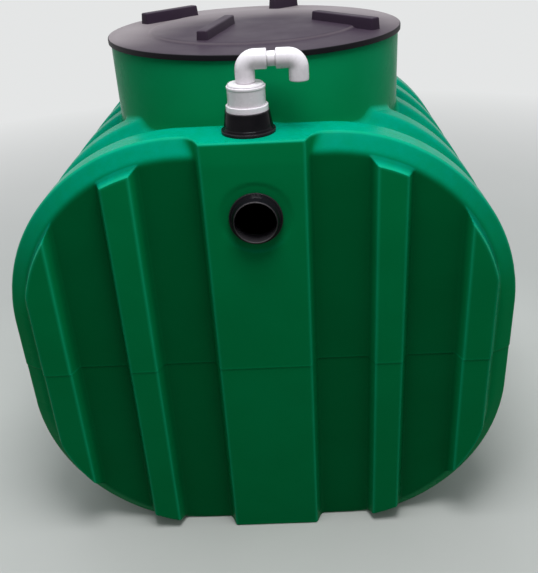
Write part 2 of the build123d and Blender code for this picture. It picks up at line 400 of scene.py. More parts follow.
@dataclass(frozen=True)
class Finish:
    """How one kind of plastic or rubber looks.

    Attributes:
        name: Name of the finish.
        colour: Its own colour.
        worn: Colour of its faded or dusty patches.
        patches: How strongly the patches show.
        patch_scale: Patches for each metre.
        gloss: Lowest and highest roughness.
        grain_scale: Grains for each metre.
        grain: Height of the grain in metres.
        wave_scale: Slow waves of the moulding for each metre.
        wave: Height of the slow waves in metres.
        dust_and_painted_light: Colour on faces that look up: dust, except on the green plastic, where it is a
            painted sheen of the sky.
        dust_and_painted_light_share: How strongly the dust and painted sheen show.
        dust_and_painted_light_range: Upward lean at which the dust and painted sheen start, and at which they
            are full.
        sheen: Weight of the velvety light on the places with painted light.
        sheen_tint: Colour of that light.
        specular: Strength of the reflection at right angles.
        painted_shade_and_dirt: Colour of the painted shade in the recesses between the ribs and on the lid's
            rim, and of the dirt at the pipe's joints, or None where there are none.
        painted_light: Colour of the painted highlights and painted light.
        patch_span: Heights of the cloud at which a patch starts and is full.
        cloud_span: Lowest and highest height of the other clouds that count.
        thin_dust_and_painted_light: Share of the dust and painted sheen where they are thinnest.
    """

    name: str
    colour: Triple
    worn: Triple
    patches: float
    patch_scale: float
    gloss: tuple[float, float]
    grain_scale: float
    grain: float
    wave_scale: float
    wave: float
    dust_and_painted_light: Triple
    dust_and_painted_light_share: float
    dust_and_painted_light_range: tuple[float, float] = (0.25, 0.95)
    sheen: float = 0.0
    sheen_tint: Triple = (1.0, 0.86, 0.9)
    specular: float = 0.5
    painted_shade_and_dirt: Triple | None = None
    painted_light: Triple = (0.5, 0.5, 0.5)
    patch_span: tuple[float, float] = (0.42, 0.72)
    cloud_span: tuple[float, float] = (0.3, 0.7)
    thin_dust_and_painted_light: float = 0.55

    def base_colour(self, graph: NodeGraph, place: Socket) -> Socket:
        """Colour over the piece.

        It goes from the plain one to the worn one over cloudy patches, then to the dust on faces that look
        up, which on the green plastic is a painted sheen, and last to the painted shade of recesses (dirt at
        the pipe's joints) and to painted highlights and painted light.

        Args:
            graph: The material's nodes.
            place: Place on the piece.

        Returns:
            The colour.
        """
        cloud = graph.noise(place, self.patch_scale, 5.0, 0.6)
        share = graph.ramp(cloud, *self.patch_span, 0.0, self.patches)
        colour = graph.mix(share, (*self.colour, 1.0), (*self.worn, 1.0))
        normal = graph.node("ShaderNodeNewGeometry").outputs["Normal"]
        upward = graph.node("ShaderNodeSeparateXYZ", Vector=normal).outputs["Z"]
        # Dust on faces that look up; on the green plastic this colour is a painted sheen of the sky.
        specks = graph.noise(place, self.patch_scale * 9.0, 6.0, 0.7)
        speck = graph.ramp(specks, *self.cloud_span, self.thin_dust_and_painted_light, 1.0)
        facing_up_share = graph.ramp(upward, *self.dust_and_painted_light_range, 0.0, self.dust_and_painted_light_share)
        colour = graph.mix(graph.sums("MULTIPLY", facing_up_share, speck), colour, (*self.dust_and_painted_light, 1.0))
        # Painted shade (dirt at the pipe's joints), then painted highlights and painted light, from the
        # mesh's two shares.
        if self.painted_shade_and_dirt is not None:
            colour = graph.mix(graph.share("painted_shade_and_dirt"), colour, (*self.painted_shade_and_dirt, 1.0))
            colour = graph.mix(graph.share("painted_light"), colour, (*self.painted_light, 1.0))
        return colour

    def bumps(self, graph: NodeGraph, place: Socket) -> Socket:
        """Normal of fine grain on top of the slow waves of the moulding.

        Args:
            graph: The material's nodes.
            place: Place on the piece.

        Returns:
            The normal.
        """
        waves = graph.noise(place, self.wave_scale, 1.0)
        slow = graph.node("ShaderNodeBump", Distance=self.wave, Strength=1.0, Height=waves).outputs["Normal"]
        grains = graph.noise(place, self.grain_scale, 2.0)
        fine = graph.node("ShaderNodeBump", Distance=self.grain, Strength=1.0, Height=grains, Normal=slow)
        return fine.outputs["Normal"]

    def material(self) -> bpy.types.Material:
        """Node material of this finish, laid out on Object coordinates.

        Returns:
            The material, whose roughness follows a cloud of its own.
        """
        made = bpy.data.materials.new(self.name)
        made.use_nodes = True
        graph = NodeGraph(made)
        inputs = made.node_tree.nodes["Principled BSDF"].inputs
        place = graph.object_place()
        graph.link(self.base_colour(graph, place), inputs["Base Color"])
        haze = graph.noise(place, self.patch_scale * 3.0, 4.0)
        graph.link(graph.ramp(haze, *self.cloud_span, *self.gloss), inputs["Roughness"])
        if self.sheen:
            graph.link(graph.sums("MULTIPLY", graph.share("painted_light"), self.sheen), inputs["Sheen Weight"])
            inputs["Sheen Tint"].default_value = (*self.sheen_tint, 1.0)
        inputs["Specular IOR Level"].default_value = self.specular
        graph.link(self.bumps(graph, place), inputs["Normal"])
        return made


# The green's upward colour is a painted teal sheen of the sky on faces that look up.
GREEN_PLASTIC = Finish(
    name="green_moulded_plastic", colour=(0.0, 0.20, 0.058), worn=(0.0, 0.225, 0.072), patches=0.5,
    patch_scale=5.0, gloss=(0.24, 0.34), grain_scale=420.0, grain=0.00008, wave_scale=7.0,
    wave=0.003, dust_and_painted_light=(0.0, 0.315, 0.25), dust_and_painted_light_share=0.63, dust_and_painted_light_range=(0.05, 0.6), specular=0.012,
    painted_shade_and_dirt=(0.0, 0.055, 0.014), painted_light=(0.008, 0.40, 0.20),
)
# The lid's deep colour is painted shade on its rim, its pale colour a painted reflection and painted
# highlight.
BLACK_PLASTIC = Finish(
    name="black_lid_plastic", colour=(0.026, 0.015, 0.028), worn=(0.040, 0.026, 0.040), patches=0.7,
    patch_scale=4.0, gloss=(0.44, 0.56), grain_scale=520.0, grain=0.00005, wave_scale=6.0,
    wave=0.004, dust_and_painted_light=(0.055, 0.040, 0.052), dust_and_painted_light_share=0.3, specular=0.10, sheen=0.8,
    painted_shade_and_dirt=(0.004, 0.003, 0.005), painted_light=(0.085, 0.062, 0.066),
)
# The rubber's pale colour is painted highlights on the grommets' edges and painted light in the bore.
BLACK_RUBBER = Finish(
    name="black_rubber", colour=(0.0035, 0.003, 0.0045), worn=(0.010, 0.008, 0.010), patches=0.7,
    patch_scale=25.0, gloss=(0.11, 0.2), grain_scale=900.0, grain=0.00003, wave_scale=30.0,
    wave=0.0006, dust_and_painted_light=(0.02, 0.018, 0.022), dust_and_painted_light_share=0.3, specular=0.06,
    painted_shade_and_dirt=(0.002, 0.002, 0.002), painted_light=(0.16, 0.14, 0.15),
)
# The pipe's deep colour is dirt at its joints.
WHITE_PIPE = Finish(
    name="white_pipe_plastic", colour=(0.75, 0.68, 0.72), worn=(0.62, 0.56, 0.59), patches=0.6,
    patch_scale=22.0, gloss=(0.2, 0.34), grain_scale=700.0, grain=0.00004, wave_scale=25.0,
    wave=0.0004, dust_and_painted_light=(0.5, 0.46, 0.45), dust_and_painted_light_share=0.2, painted_shade_and_dirt=(0.10, 0.085, 0.08),
)


@dataclass
class TankOutline:
    """Outline of the tank seen along Y: a flat top, round shoulders, upright sides, a flat foot.

    Attributes:
        corner_x: Half the width of the flat top.
        corner_r: Radius of the four corners.
        upper_z: Height of the middle of the upper corners.
        lower_z: Height of the middle of the lower corners.
        parting_z: Height of the joint of the mould.
        shoulder_points: Points from the opening or the middle over the shoulder to the side.
        side_points: Points down a side besides the joint's.
        corner_points: Points round a lower corner.
        foot_points: Points along half the foot.
    """

    corner_x: float = 129.0
    corner_r: float = 361.0
    upper_z: float = 519.0
    lower_z: float = 329.0
    parting_z: float = 424.0
    shoulder_points: int = 61
    side_points: int = 8
    corner_points: int = 31
    foot_points: int = 11

    @property
    def half_width(self) -> float:
        """Half the width over the crests."""
        return self.corner_x + self.corner_r

    @property
    def top_z(self) -> float:
        """Height of the crests."""
        return self.upper_z + self.corner_r

    def beyond(self, x: np.ndarray) -> np.ndarray:
        """How far a place lies beyond the flat top."""
        return np.maximum(np.abs(x) - self.corner_x, 0.0)

    def arc(self, x: np.ndarray, inset: np.ndarray) -> np.ndarray:
        """Height of a corner's circle over its middle at x, when it is drawn in by inset."""
        return np.sqrt(np.maximum((self.corner_r - inset) ** 2 - self.beyond(x) ** 2, 0.0))

    def inset(self, x: np.ndarray, z: np.ndarray) -> np.ndarray:
        """Distance inside the round outline: corner radius less distance to the nearest middle line."""
        rise = np.maximum(np.maximum(z - self.upper_z, self.lower_z - z), 0.0)
        return self.corner_r - np.hypot(self.beyond(x), rise)

    def top(self, x: np.ndarray, inset: np.ndarray) -> np.ndarray:
        """Height of the outline over x when it is drawn in by inset."""
        return self.upper_z + self.arc(x, inset)

    def bottom(self, x: np.ndarray, inset: np.ndarray, foot: np.ndarray) -> np.ndarray:
        """Height of the outline's underside, which is the foot where that is higher."""
        return np.maximum(self.lower_z - self.arc(x, inset), foot)

    def half_loops(self, inset: np.ndarray, start_x: np.ndarray) -> np.ndarray:
        """Right half of the outline for many insets at once.

        Even shares of the length from start_x over the shoulder to the side, then even shares
        of the side, of the lower corner's angle and of the foot.

        Args:
            inset: Inset of each loop.
            start_x: Where each loop starts on the top.

        Returns:
            Array of loops, points and (x, z).
        """
        r = (self.corner_r - inset)[:, None]
        start_angle = np.arcsin(np.clip((start_x[:, None] - self.corner_x) / r, 0.0, 1.0))
        start = np.minimum(start_x[:, None], self.corner_x) + r * start_angle
        whole = self.corner_x + r * QUARTER - start
        length = start + whole * np.linspace(0, 1, self.shoulder_points)[None, :]
        angle = np.clip((length - self.corner_x) / r, 0.0, QUARTER)
        flat_x = np.minimum(length, self.corner_x)
        shoulder = np.stack([flat_x + r * np.sin(angle), self.upper_z + r * np.cos(angle)], -1)
        joint = (self.upper_z - self.parting_z + JOINT_ROWS) / (self.upper_z - self.lower_z)
        down = np.sort(np.concatenate([np.linspace(0, 1, self.side_points)[1:], joint]))[None, :]
        side_z = self.upper_z + (self.lower_z - self.upper_z) * down
        side = np.stack(np.broadcast_arrays(self.corner_x + r, side_z), -1)
        foot_angle = np.arcsin(np.clip((self.lower_z - inset)[:, None] / r, -1.0, 1.0))
        turn = foot_angle * np.linspace(0, 1, self.corner_points)[None, 1:]
        lower = np.stack([self.corner_x + r * np.cos(turn), self.lower_z - r * np.sin(turn)], -1)
        foot_x = lower[:, -1:, 0] * (1 - np.linspace(0, 1, self.foot_points)[None, 1:])
        foot = np.stack(np.broadcast_arrays(foot_x, inset[:, None]), -1)
        return np.concatenate([shoulder, side, lower, foot], axis=1)


def parted(surface: Surface, line_z: float, step: float) -> Surface:
    """Surface whose sides stand back by a small step below the mould's joint line.

    Each point moves inwards by step, times a share that rises with its distance from the
    middle, times one that rises from 0 to 1 downwards across the joint line.

    Args:
        surface: The surface.
        line_z: Height of the joint line.
        step: How far the lower half stands back.

    Returns:
        The changed surface.
    """
    x, y, z = surface.points.T
    out = eased((np.abs(x) - SIDES_FROM) / (SIDES_FULL - SIDES_FROM))
    share = out * (1.0 - eased((z - line_z) / STEP_HEIGHT + 0.5))
    return Surface(np.column_stack([x - np.sign(x) * step * share, y, z]), surface.faces, surface.marks)


@dataclass
class HoopedBarrel:
    """Barrel with hoops round it and a round opening for the neck.

    Attributes:
        outline: Outline over the crests.
        hoops: Number of hoops.
        end_hoop_y: Distance of the outer hoops' middles from the middle of the tank.
        crest: Width of a crest.
        flank: Run of a flank along Y.
        depth: Depth of the valleys.
        reach: Where the barrel gives way to the end walls.
        wall: Thickness.
        opening_r: Radius of the opening, in the middle of the neck's wall.
        step: How far the lower half stands back at the mould's joint line.
        crest_cut: How much of a run a crest's soft corner takes.
        valley_cut: The same in a valley.
        longest: Longest run between stations.
    """

    outline: TankOutline
    hoops: int = 5
    end_hoop_y: float = 332.0
    crest: float = 64.0
    flank: float = 20.0
    depth: float = 26.0
    reach: float = 344.0
    wall: float = 8.0
    opening_r: float = 292.0
    step: float = 0.9
    crest_cut: float = 9.0
    valley_cut: float = 13.0
    longest: float = 14.0

    def profile(self) -> np.ndarray:
        """Line along the barrel: crests, flanks and valleys with soft corners.

        Returns:
            Its points as rows of (y, inset).
        """
        middles = np.linspace(-self.end_hoop_y, self.end_hoop_y, self.hoops)[:, None]
        half = self.crest / 2
        steps = np.array([-half - self.flank, -half, half, half + self.flank])[None, :]
        y = (middles + steps).ravel()[2:-2]
        inset = np.tile([self.depth, 0.0, 0.0, self.depth], self.hoops)[2:-2]
        corners = np.column_stack([np.r_[-self.reach, y, self.reach], np.r_[0.0, inset, 0.0]])
        cut = np.where(corners[:, 1] > 0, self.valley_cut, self.crest_cut)
        return filled(softened(corners, cut, 6, closed=False), self.longest)

    def inset_at(self, y: np.ndarray) -> np.ndarray:
        """Depth below the crests at y, read off the profile."""
        line = self.profile()
        return np.interp(y, line[:, 0], line[:, 1], left=0.0, right=0.0)

    def crown(self, x: np.ndarray, y: np.ndarray) -> np.ndarray:
        """Height of the barrel's upper side at x and y."""
        return self.outline.top(x, self.inset_at(y))

    def stations(self) -> np.ndarray:
        """Places along Y of the loops, close together where the opening's circle runs across them.

        Returns:
            The places, at least 0.05 mm apart.
        """
        near = self.opening_r * np.sin(OPENING_ANGLES)
        y = np.unique(np.round(np.concatenate([self.profile()[:, 0], near, -near]), 4))
        return y[np.concatenate([[True], np.diff(y) > 0.05])]

    def surface(self) -> Surface:
        """Closed shell: outer and inner skins with their rims.

        Stations along Y carry the half outline of that station's inset. Each starts where the
        opening's circle crosses it, x = sqrt(r^2 - y^2), or at the middle beyond the circle.

        Returns:
            The shell, mirrored from its right half.
        """
        y = self.stations()
        start = np.sqrt(np.maximum(self.opening_r**2 - y**2, 0.0))
        skins = []
        for skin in (0.0, self.wall):
            loops = self.outline.half_loops(self.inset_at(y) + skin, start)
            across = np.broadcast_to(y[:, None], loops.shape[:2])
            skins.append(np.stack([loops[..., 0], across, loops[..., 1]], -1))
        outer, inner = skins
        open_rows = np.abs(y) <= self.opening_r + 0.01
        rims = [(outer[open_rows, 0], inner[open_rows, 0]), (outer[0], inner[0]), (outer[-1], inner[-1])]
        parts = [Surface.grid(inner)] + [Surface.grid(np.stack(rim)) for rim in rims]
        half = Surface.grid(outer).joined(*parts)
        return parted(half.joined(half.mirrored(0)), self.outline.parting_z, self.step)


@dataclass
class Rib:
    """Upright rib of an end wall, whose ends stop short of the outline and lean in.

    Attributes:
        x: Middle of the rib.
        half: Half the width of its face.
    """

    x: float
    half: float


@dataclass(frozen=True)
class EndTones:
    """Shares of the painted shade and of the painted light on an end wall, and how far they reach.

    Attributes:
        panel: Painted shade of the panel between the ribs.
        foot: What the painted shade gains beside a rib's foot.
        foot_reach: How far from the foot that gain fades.
        fade: Half the width over which the panel's tone begins inside the sloping band.
        under_face: Depth below the rib faces at which the panel's tone begins.
        face: Painted shade of the rib faces.
        low: What it gains from the top down to the floor, so that the faces are darker towards the floor.
        face_fade: Width over which it begins inside the sloping band.
        port: What it gains round the port, a painted shadow of the grommet.
        port_from: Distance from the port's middle at which that gain starts to fade.
        port_fade: Width over which it fades.
        edge: Painted highlight on the ribs' edges.
        edge_inside: How far inside the edge it is strongest.
        edge_width: Width of its bell curve.
        outer_cap: How many times stronger the painted highlight is on the outer ribs' leaning tops.
        cap_width: Width of the bell curve on leaning tops.
        raised_below: Depth below the faces at which the edges' tone begins.
        raised_fade: Height over which it begins.
        side: Painted light on the outer ribs' outer flanks.
        side_above: Height over the panel at which that begins.
        side_fade: Height over which it begins.
        rim: Painted highlight on the tank's outer edge.
        rim_inset: Inset of that tone's bell curve, and its width.
    """

    panel: float = 0.64
    foot: float = 0.08
    foot_reach: float = 10.0
    fade: float = 6.0
    under_face: float = 4.0
    face: float = 0.10
    low: float = 0.16
    face_fade: float = 14.0
    port: float = 0.22
    port_from: float = 46.0
    port_fade: float = 24.0
    edge: float = 0.46
    edge_inside: float = 0.2
    edge_width: float = 2.8
    outer_cap: float = 1.6
    cap_width: float = 2.6
    raised_below: float = 7.0
    raised_fade: float = 5.0
    side: float = 0.75
    side_above: float = 4.0
    side_fade: float = 8.0
    rim: float = 0.35
    rim_inset: float = 1.6


@dataclass
class RibbedEnd:
    """End wall with a sloping band round it, upright ribs and a round pad for the port.

    Attributes:
        outline: Outline over the crests.
        end_y: Where the last crest ends.
        start_y: Where this wall takes over from the barrel.
        panel: How far the panel stands in front of end_y.
        face: How far the rib faces stand in front of end_y.
        band: Width of the sloping band, as an inset.
        draft: How much a rib widens from its face to its root.
        flare: How much the middle rib widens behind its root.
        flare_reach: How far beyond its root the middle rib is looked at.
        cap_root: Inset of the ribs' tops at end_y.
        cap_face: Inset of the ribs' tops at their faces.
        wall: Thickness.
        edge_r: Radius of the outer edge.
        edge_points: Rows and columns round that edge.
        rib_soft: Difference in height over which the ribs' edges and tops are rounded.
        foot_soft: The same at their feet.
        band_soft: The same where the band meets the panel and the flare the rib.
        port_z: Height of the port.
        port_r: Radius of its hole.
        pad_r: Radius of the round pad.
        pad: Depth of the pad.
        pad_soft: Half the width of the pad's soft edge.
        patch_x: Half the width of the patch round the port that is made of rings.
        patch_z: Half its height.
        patch_rings: Rings of points in it.
        rim_rings: Rings of points from the outer edge back to start_y.
        ridge: Height of the mould's joint line.
        ridge_width: Width of its bell curve.
        step: How far the lower half stands back at that line.
        middle_half: Half the width of the middle rib's face.
        ribs: The ribs on the right of the middle one, from the inside out.
        tones: Its painted shade and painted light.
    """

    outline: TankOutline
    end_y: float = 364.0
    start_y: float = 344.0
    panel: float = 20.0
    face: float = 48.0
    band: float = 32.0
    draft: float = 11.0
    flare: float = 17.0
    flare_reach: float = 40.0
    cap_root: float = 29.7
    cap_face: float = 40.0
    wall: float = 8.0
    edge_r: float = 4.5
    edge_points: int = 8
    rib_soft: float = 8.0
    foot_soft: float = 9.0
    band_soft: float = 5.0
    port_z: float = 742.0
    port_r: float = 40.5
    pad_r: float = 64.0
    pad: float = 1.5
    pad_soft: float = 5.0
    patch_x: float = 80.0
    patch_z: float = 78.0
    patch_rings: int = 15
    rim_rings: int = 7
    ridge: float = 0.6
    ridge_width: float = 1.3
    step: float = 0.9
    middle_half: float = 90.5
    ribs: list[Rib] = field(default_factory=lambda: [Rib(241.0, 26.5), Rib(413.0, 27.0)])
    tones: EndTones = EndTones()

    def rib_height(self, away: np.ndarray, half: float, skin: float) -> np.ndarray:
        """Height of a rib by the distance from its middle: its face, then its straight flank."""
        flank = self.face - skin - (away - half + skin) * (self.face - self.panel) / self.draft
        return smooth_low(np.full_like(away, self.face - skin), flank, self.rib_soft)

    def forward(self, x: np.ndarray, z: np.ndarray, skin: float) -> np.ndarray:
        """How far the wall stands in front of end_y.

        The sloping band rises to the panel, the ribs rise out of both, the outer ribs are held
        under planes that lean in along the outline, the pad is pressed in, the joint line is a
        narrow ridge over a small step, and the outer edge falls away as a quarter circle.

        Args:
            x: Places across.
            z: Heights.
            skin: Depth of this skin below the outside.

        Returns:
            The distance at each place.
        """
        inside = self.outline.inset(x, z) - skin
        panel = self.panel - skin
        height = smooth_low(inside * panel / self.band, np.full_like(inside, panel), self.band_soft)
        away = np.abs(x)
        root = self.middle_half + self.draft - skin
        skirt = panel - np.maximum(away - root, 0.0) * self.panel / self.flare
        middle = smooth_high(self.rib_height(away, self.middle_half, skin), skirt, self.band_soft)
        middle = np.where(away > root + self.flare_reach, NOWHERE, middle)
        height = smooth_high(height, middle, self.foot_soft)
        lean = (self.face - skin) / (self.cap_face - self.cap_root)
        for rib in self.ribs:
            rise = self.rib_height(np.abs(away - rib.x), rib.half, skin)
            rise = smooth_low(rise, (inside - self.cap_root) * lean, self.rib_soft)
            height = smooth_high(height, rise, self.foot_soft)
        from_port = np.hypot(x, z - self.port_z)
        beyond_pad = eased((from_port - self.pad_r + self.pad_soft) / (2 * self.pad_soft))
        height = height - self.pad * (1 - beyond_pad)
        if skin == 0:
            above = z - self.outline.parting_z
            height = height + self.ridge * bell(above, self.ridge_width)
            height = height - self.step * (1 - eased(above / STEP_HEIGHT + 0.5))
        edge = np.clip(np.minimum(inside, z - skin) / self.edge_r, 0.0, 1.0)
        return height - self.edge_r * (1 - np.sqrt(np.maximum(1 - (1 - edge) ** 2, 0.0)))

    def painted_shade_and_dirt(self, x: np.ndarray, z: np.ndarray, forward: np.ndarray) -> np.ndarray:
        """Share of the painted shade in the recesses and on the rib faces.

        It rises with the depth below the rib faces, is greatest beside the ribs' feet, fades
        out over the sloping band and is 0 outside the outer ribs. The rib faces have a little
        of it, more towards the floor and round the port.

        Args:
            x: Places across.
            z: Heights.
            forward: How far the wall stands in front of end_y there.

        Returns:
            The share at each place.
        """
        tones = self.tones
        inside, away = self.outline.inset(x, z), np.abs(x)
        depth = (self.face - tones.under_face - forward) / (self.face - self.panel - tones.under_face)
        level = eased((inside - self.band + tones.fade) / (2 * tones.fade)) * eased(depth)
        level = level * (1.0 - self.past_ribs(away))
        feet = [away - self.middle_half] + [np.abs(away - rib.x) - rib.half for rib in self.ribs]
        near = np.min(np.abs(np.stack(feet) - self.draft), axis=0)
        # Painted shade in the panels between the ribs, deepest beside the ribs' feet.
        panel = level * (tones.panel + tones.foot * np.exp(-near / tones.foot_reach))
        # Painted shadow round the port, and painted shade on the rib faces that darkens towards the floor.
        from_port = np.hypot(x, z - self.port_z)
        port = tones.port * (1.0 - eased((from_port - tones.port_from) / tones.port_fade))
        face = tones.face + tones.low * (1.0 - z / self.outline.top_z) + port
        return np.maximum(panel, eased((inside - self.band) / tones.face_fade) * face)

    def painted_light(self, x: np.ndarray, z: np.ndarray, forward: np.ndarray) -> np.ndarray:
        """Share of the painted highlights and painted light.

        It is a narrow bell curve about each of the ribs' upright edges and leaning tops, where
        the wall stands forward of the panel, and about the tank's outer edge over its lower
        corners. The outer ribs' outer flanks have it too.

        Args:
            x: Places across.
            z: Heights.
            forward: How far the wall stands in front of end_y there.

        Returns:
            The share at each place.
        """
        tones = self.tones
        inside, away = self.outline.inset(x, z), np.abs(x)
        # Painted highlights along the ribs' upright edges and leaning tops.
        edges = [bell(away - self.middle_half + tones.edge_inside, tones.edge_width)]
        for rib in self.ribs:
            strength = tones.outer_cap if rib is self.ribs[-1] else 1.0
            across = np.abs(away - rib.x)
            edges.append(bell(across - rib.half + tones.edge_inside, tones.edge_width))
            edges.append(strength * bell(inside - self.cap_face, tones.cap_width) * (across < rib.half))
        raised = eased((forward - self.face + tones.raised_below) / tones.raised_fade)
        edge = tones.edge * np.max(np.stack(edges), axis=0) * raised
        # Painted light on the outer ribs' outer flanks, and a painted highlight along the outer edge.
        above = (forward - self.panel - tones.side_above) / tones.side_fade
        side = tones.side * self.past_ribs(away) * eased(above)
        rim = tones.rim * bell(inside - tones.rim_inset, tones.rim_inset) * (z > self.outline.lower_z)
        return np.max(np.stack([edge, side, rim]), axis=0)

    def past_ribs(self, away: np.ndarray) -> np.ndarray:
        """Share that rises from 0 to 1 just outside the outermost rib's face."""
        outermost = self.ribs[-1]
        return eased((away - outermost.x - outermost.half) / self.tones.fade)

    def columns(self, skin: float) -> np.ndarray:
        """Places along X, close together at the ribs' flanks and at the outer edge.

        Args:
            skin: Depth of this skin below the outside.

        Returns:
            The places from left to right.
        """
        last = FLANK_PLACES[-1]
        root = self.middle_half + self.draft - skin
        face, flare = np.linspace(0, root - last, 11)[:-1], root + np.array([10.0, 16.0, 21.0])
        places = [face, root - FLANK_PLACES[::-1], flare]
        for rib in self.ribs:
            foot = rib.half + self.draft - skin
            left, right = rib.x - foot + FLANK_PLACES, rib.x + foot - FLANK_PLACES[::-1]
            places += [between(places[-1][-1], left[0], 9), left, between(left[-1], right[0], 5), right]
        turn = np.linspace(QUARTER, 0, self.edge_points)
        edge = self.outline.half_width - skin - self.edge_r * (1 - np.cos(turn))
        places += [between(places[-1][-1], edge[0], 5), edge]
        right_half = np.concatenate(places)
        return np.concatenate([-right_half[:0:-1], right_half])

    def lattice(self, skin: float) -> tuple[np.ndarray, np.ndarray]:
        """Grid over the wall.

        The rows near the outline follow it at fixed insets, less where a column is short. The
        rows between are even, with a few close together at the joint line.

        Args:
            skin: Depth of this skin below the outside.

        Returns:
            Its x and its z.
        """
        x = self.columns(skin)[None, :]
        edge = self.edge_r * (1 - np.cos(np.linspace(0, QUARTER, self.edge_points)))
        inward = np.concatenate([edge, ROW_INSETS])
        room = self.outline.corner_r - skin - self.outline.beyond(x)
        used = inward[:, None] * np.minimum(1.0, 0.97 * room / inward[-1])
        top = self.outline.top(x, used + skin)
        bottom = self.outline.bottom(x, used + skin, used + skin)
        joint = self.outline.parting_z + JOINT_ROWS[:, None] + 0 * x
        even = between(0, 1, 45)[:, None]
        lower = bottom[-1] + (joint[0] - bottom[-1]) * even
        upper = joint[-1] + (top[-1] - joint[-1]) * even
        z = np.vstack([bottom, lower, joint, upper, top[::-1]])
        return np.broadcast_to(x, z.shape), z

    def patch(self, rows: int) -> tuple[np.ndarray, tuple[np.ndarray, np.ndarray]]:
        """Part of the lattice round the port that gives way to rings.

        Args:
            rows: Number of the lattice's rows.

        Returns:
            Mask of the faces that stay, and the rows and columns of the points round the gap.
        """
        x, z = self.lattice(0.0)
        high = np.flatnonzero(np.abs(z[:, x.shape[1] // 2] - self.port_z) < self.patch_z)
        wide = np.flatnonzero(np.abs(x[0]) < self.patch_x)
        r0, r1, c0, c1 = high[0], high[-1], wide[0], wide[-1]
        keep = np.ones((rows - 1, x.shape[1] - 1), bool)
        keep[r0:r1, c0:c1] = False
        across, up = np.arange(c0, c1), np.arange(r0, r1)
        ring_rows = np.concatenate([np.full(c1 - c0, r0), up, np.full(c1 - c0, r1), up[::-1] + 1])
        ring_columns = np.concatenate([across, np.full(r1 - r0, c1), across[::-1] + 1, np.full(r1 - r0, c0)])
        return keep, (ring_rows, ring_columns)

    def sheet(
        self, x: np.ndarray, z: np.ndarray, skin: float
    ) -> tuple[np.ndarray, tuple[np.ndarray, np.ndarray]]:
        """Places of the wall's front and their tones.

        Args:
            x: Places across.
            z: Heights.
            skin: Depth of this skin below the outside.

        Returns:
            The points, and both shares.
        """
        forward = self.forward(x, z, skin)
        points = np.stack([x, -self.end_y - forward, z], -1)
        return points, (self.painted_shade_and_dirt(x, z, forward), self.painted_light(x, z, forward))

    def skin_surface(self, skin: float) -> tuple[list[Surface], np.ndarray, np.ndarray]:
        """One skin of the wall: the lattice, rings round the port and the strip back to start_y.

        Args:
            skin: Depth of this skin below the outside.

        Returns:
            Its surfaces, the loop of its back edge and the loop round the port's hole.
        """
        x, z = self.lattice(skin)
        points, wall_tones = self.sheet(x, z, skin)
        keep, ring = self.patch(len(x))
        edge = np.stack([x[ring], z[ring] - self.port_z], -1)
        hole = edge / np.linalg.norm(edge, axis=1, keepdims=True) * self.port_r
        flat = hole + (edge - hole) * np.linspace(0, 1, self.patch_rings)[:, None, None]
        disc, disc_tones = self.sheet(flat[..., 0], flat[..., 1] + self.port_z, skin)
        border = np.concatenate([points[0], points[1:, -1], points[-1, -2::-1], points[-2:0:-1, 0]])
        back = border.copy()
        back[:, 1] = -self.start_y
        strip = back + (border - back) * np.linspace(0, 1, self.rim_rings)[:, None, None]
        wall = Surface.grid(points, keep).marked(*wall_tones)
        pad = Surface.grid(disc, around=True).marked(*disc_tones)
        return [wall, pad, Surface.grid(strip, around=True)], back, disc[0]

    def surface(self) -> Surface:
        """Closed front wall: both skins, the rim at the back and the port's hole.

        Returns:
            The wall.
        """
        outer, outer_back, outer_hole = self.skin_surface(0.0)
        inner, inner_back, inner_hole = self.skin_surface(self.wall)
        rim = Surface.grid(np.stack([outer_back, inner_back]), around=True)
        hole = Surface.grid(np.stack([outer_hole, inner_hole]), around=True)
        return parted(outer[0].joined(*outer[1:], *inner, rim, hole), self.outline.parting_z, self.step)


def turned(profile: np.ndarray, sides: int) -> Surface:
    """Closed line turned round Z: x = r cos a, y = r sin a, z = height.

    Args:
        profile: Rows of (radius, height).
        sides: Number of sides.

    Returns:
        The solid's surface.
    """
    angle = np.linspace(0, 2 * math.pi, sides, endpoint=False)[None, :]
    r, z = profile[:, :1], profile[:, 1:]
    points = np.stack([r * np.cos(angle), r * np.sin(angle), z + 0 * angle], -1)
    return Surface.grid(points, around=True, along=True)


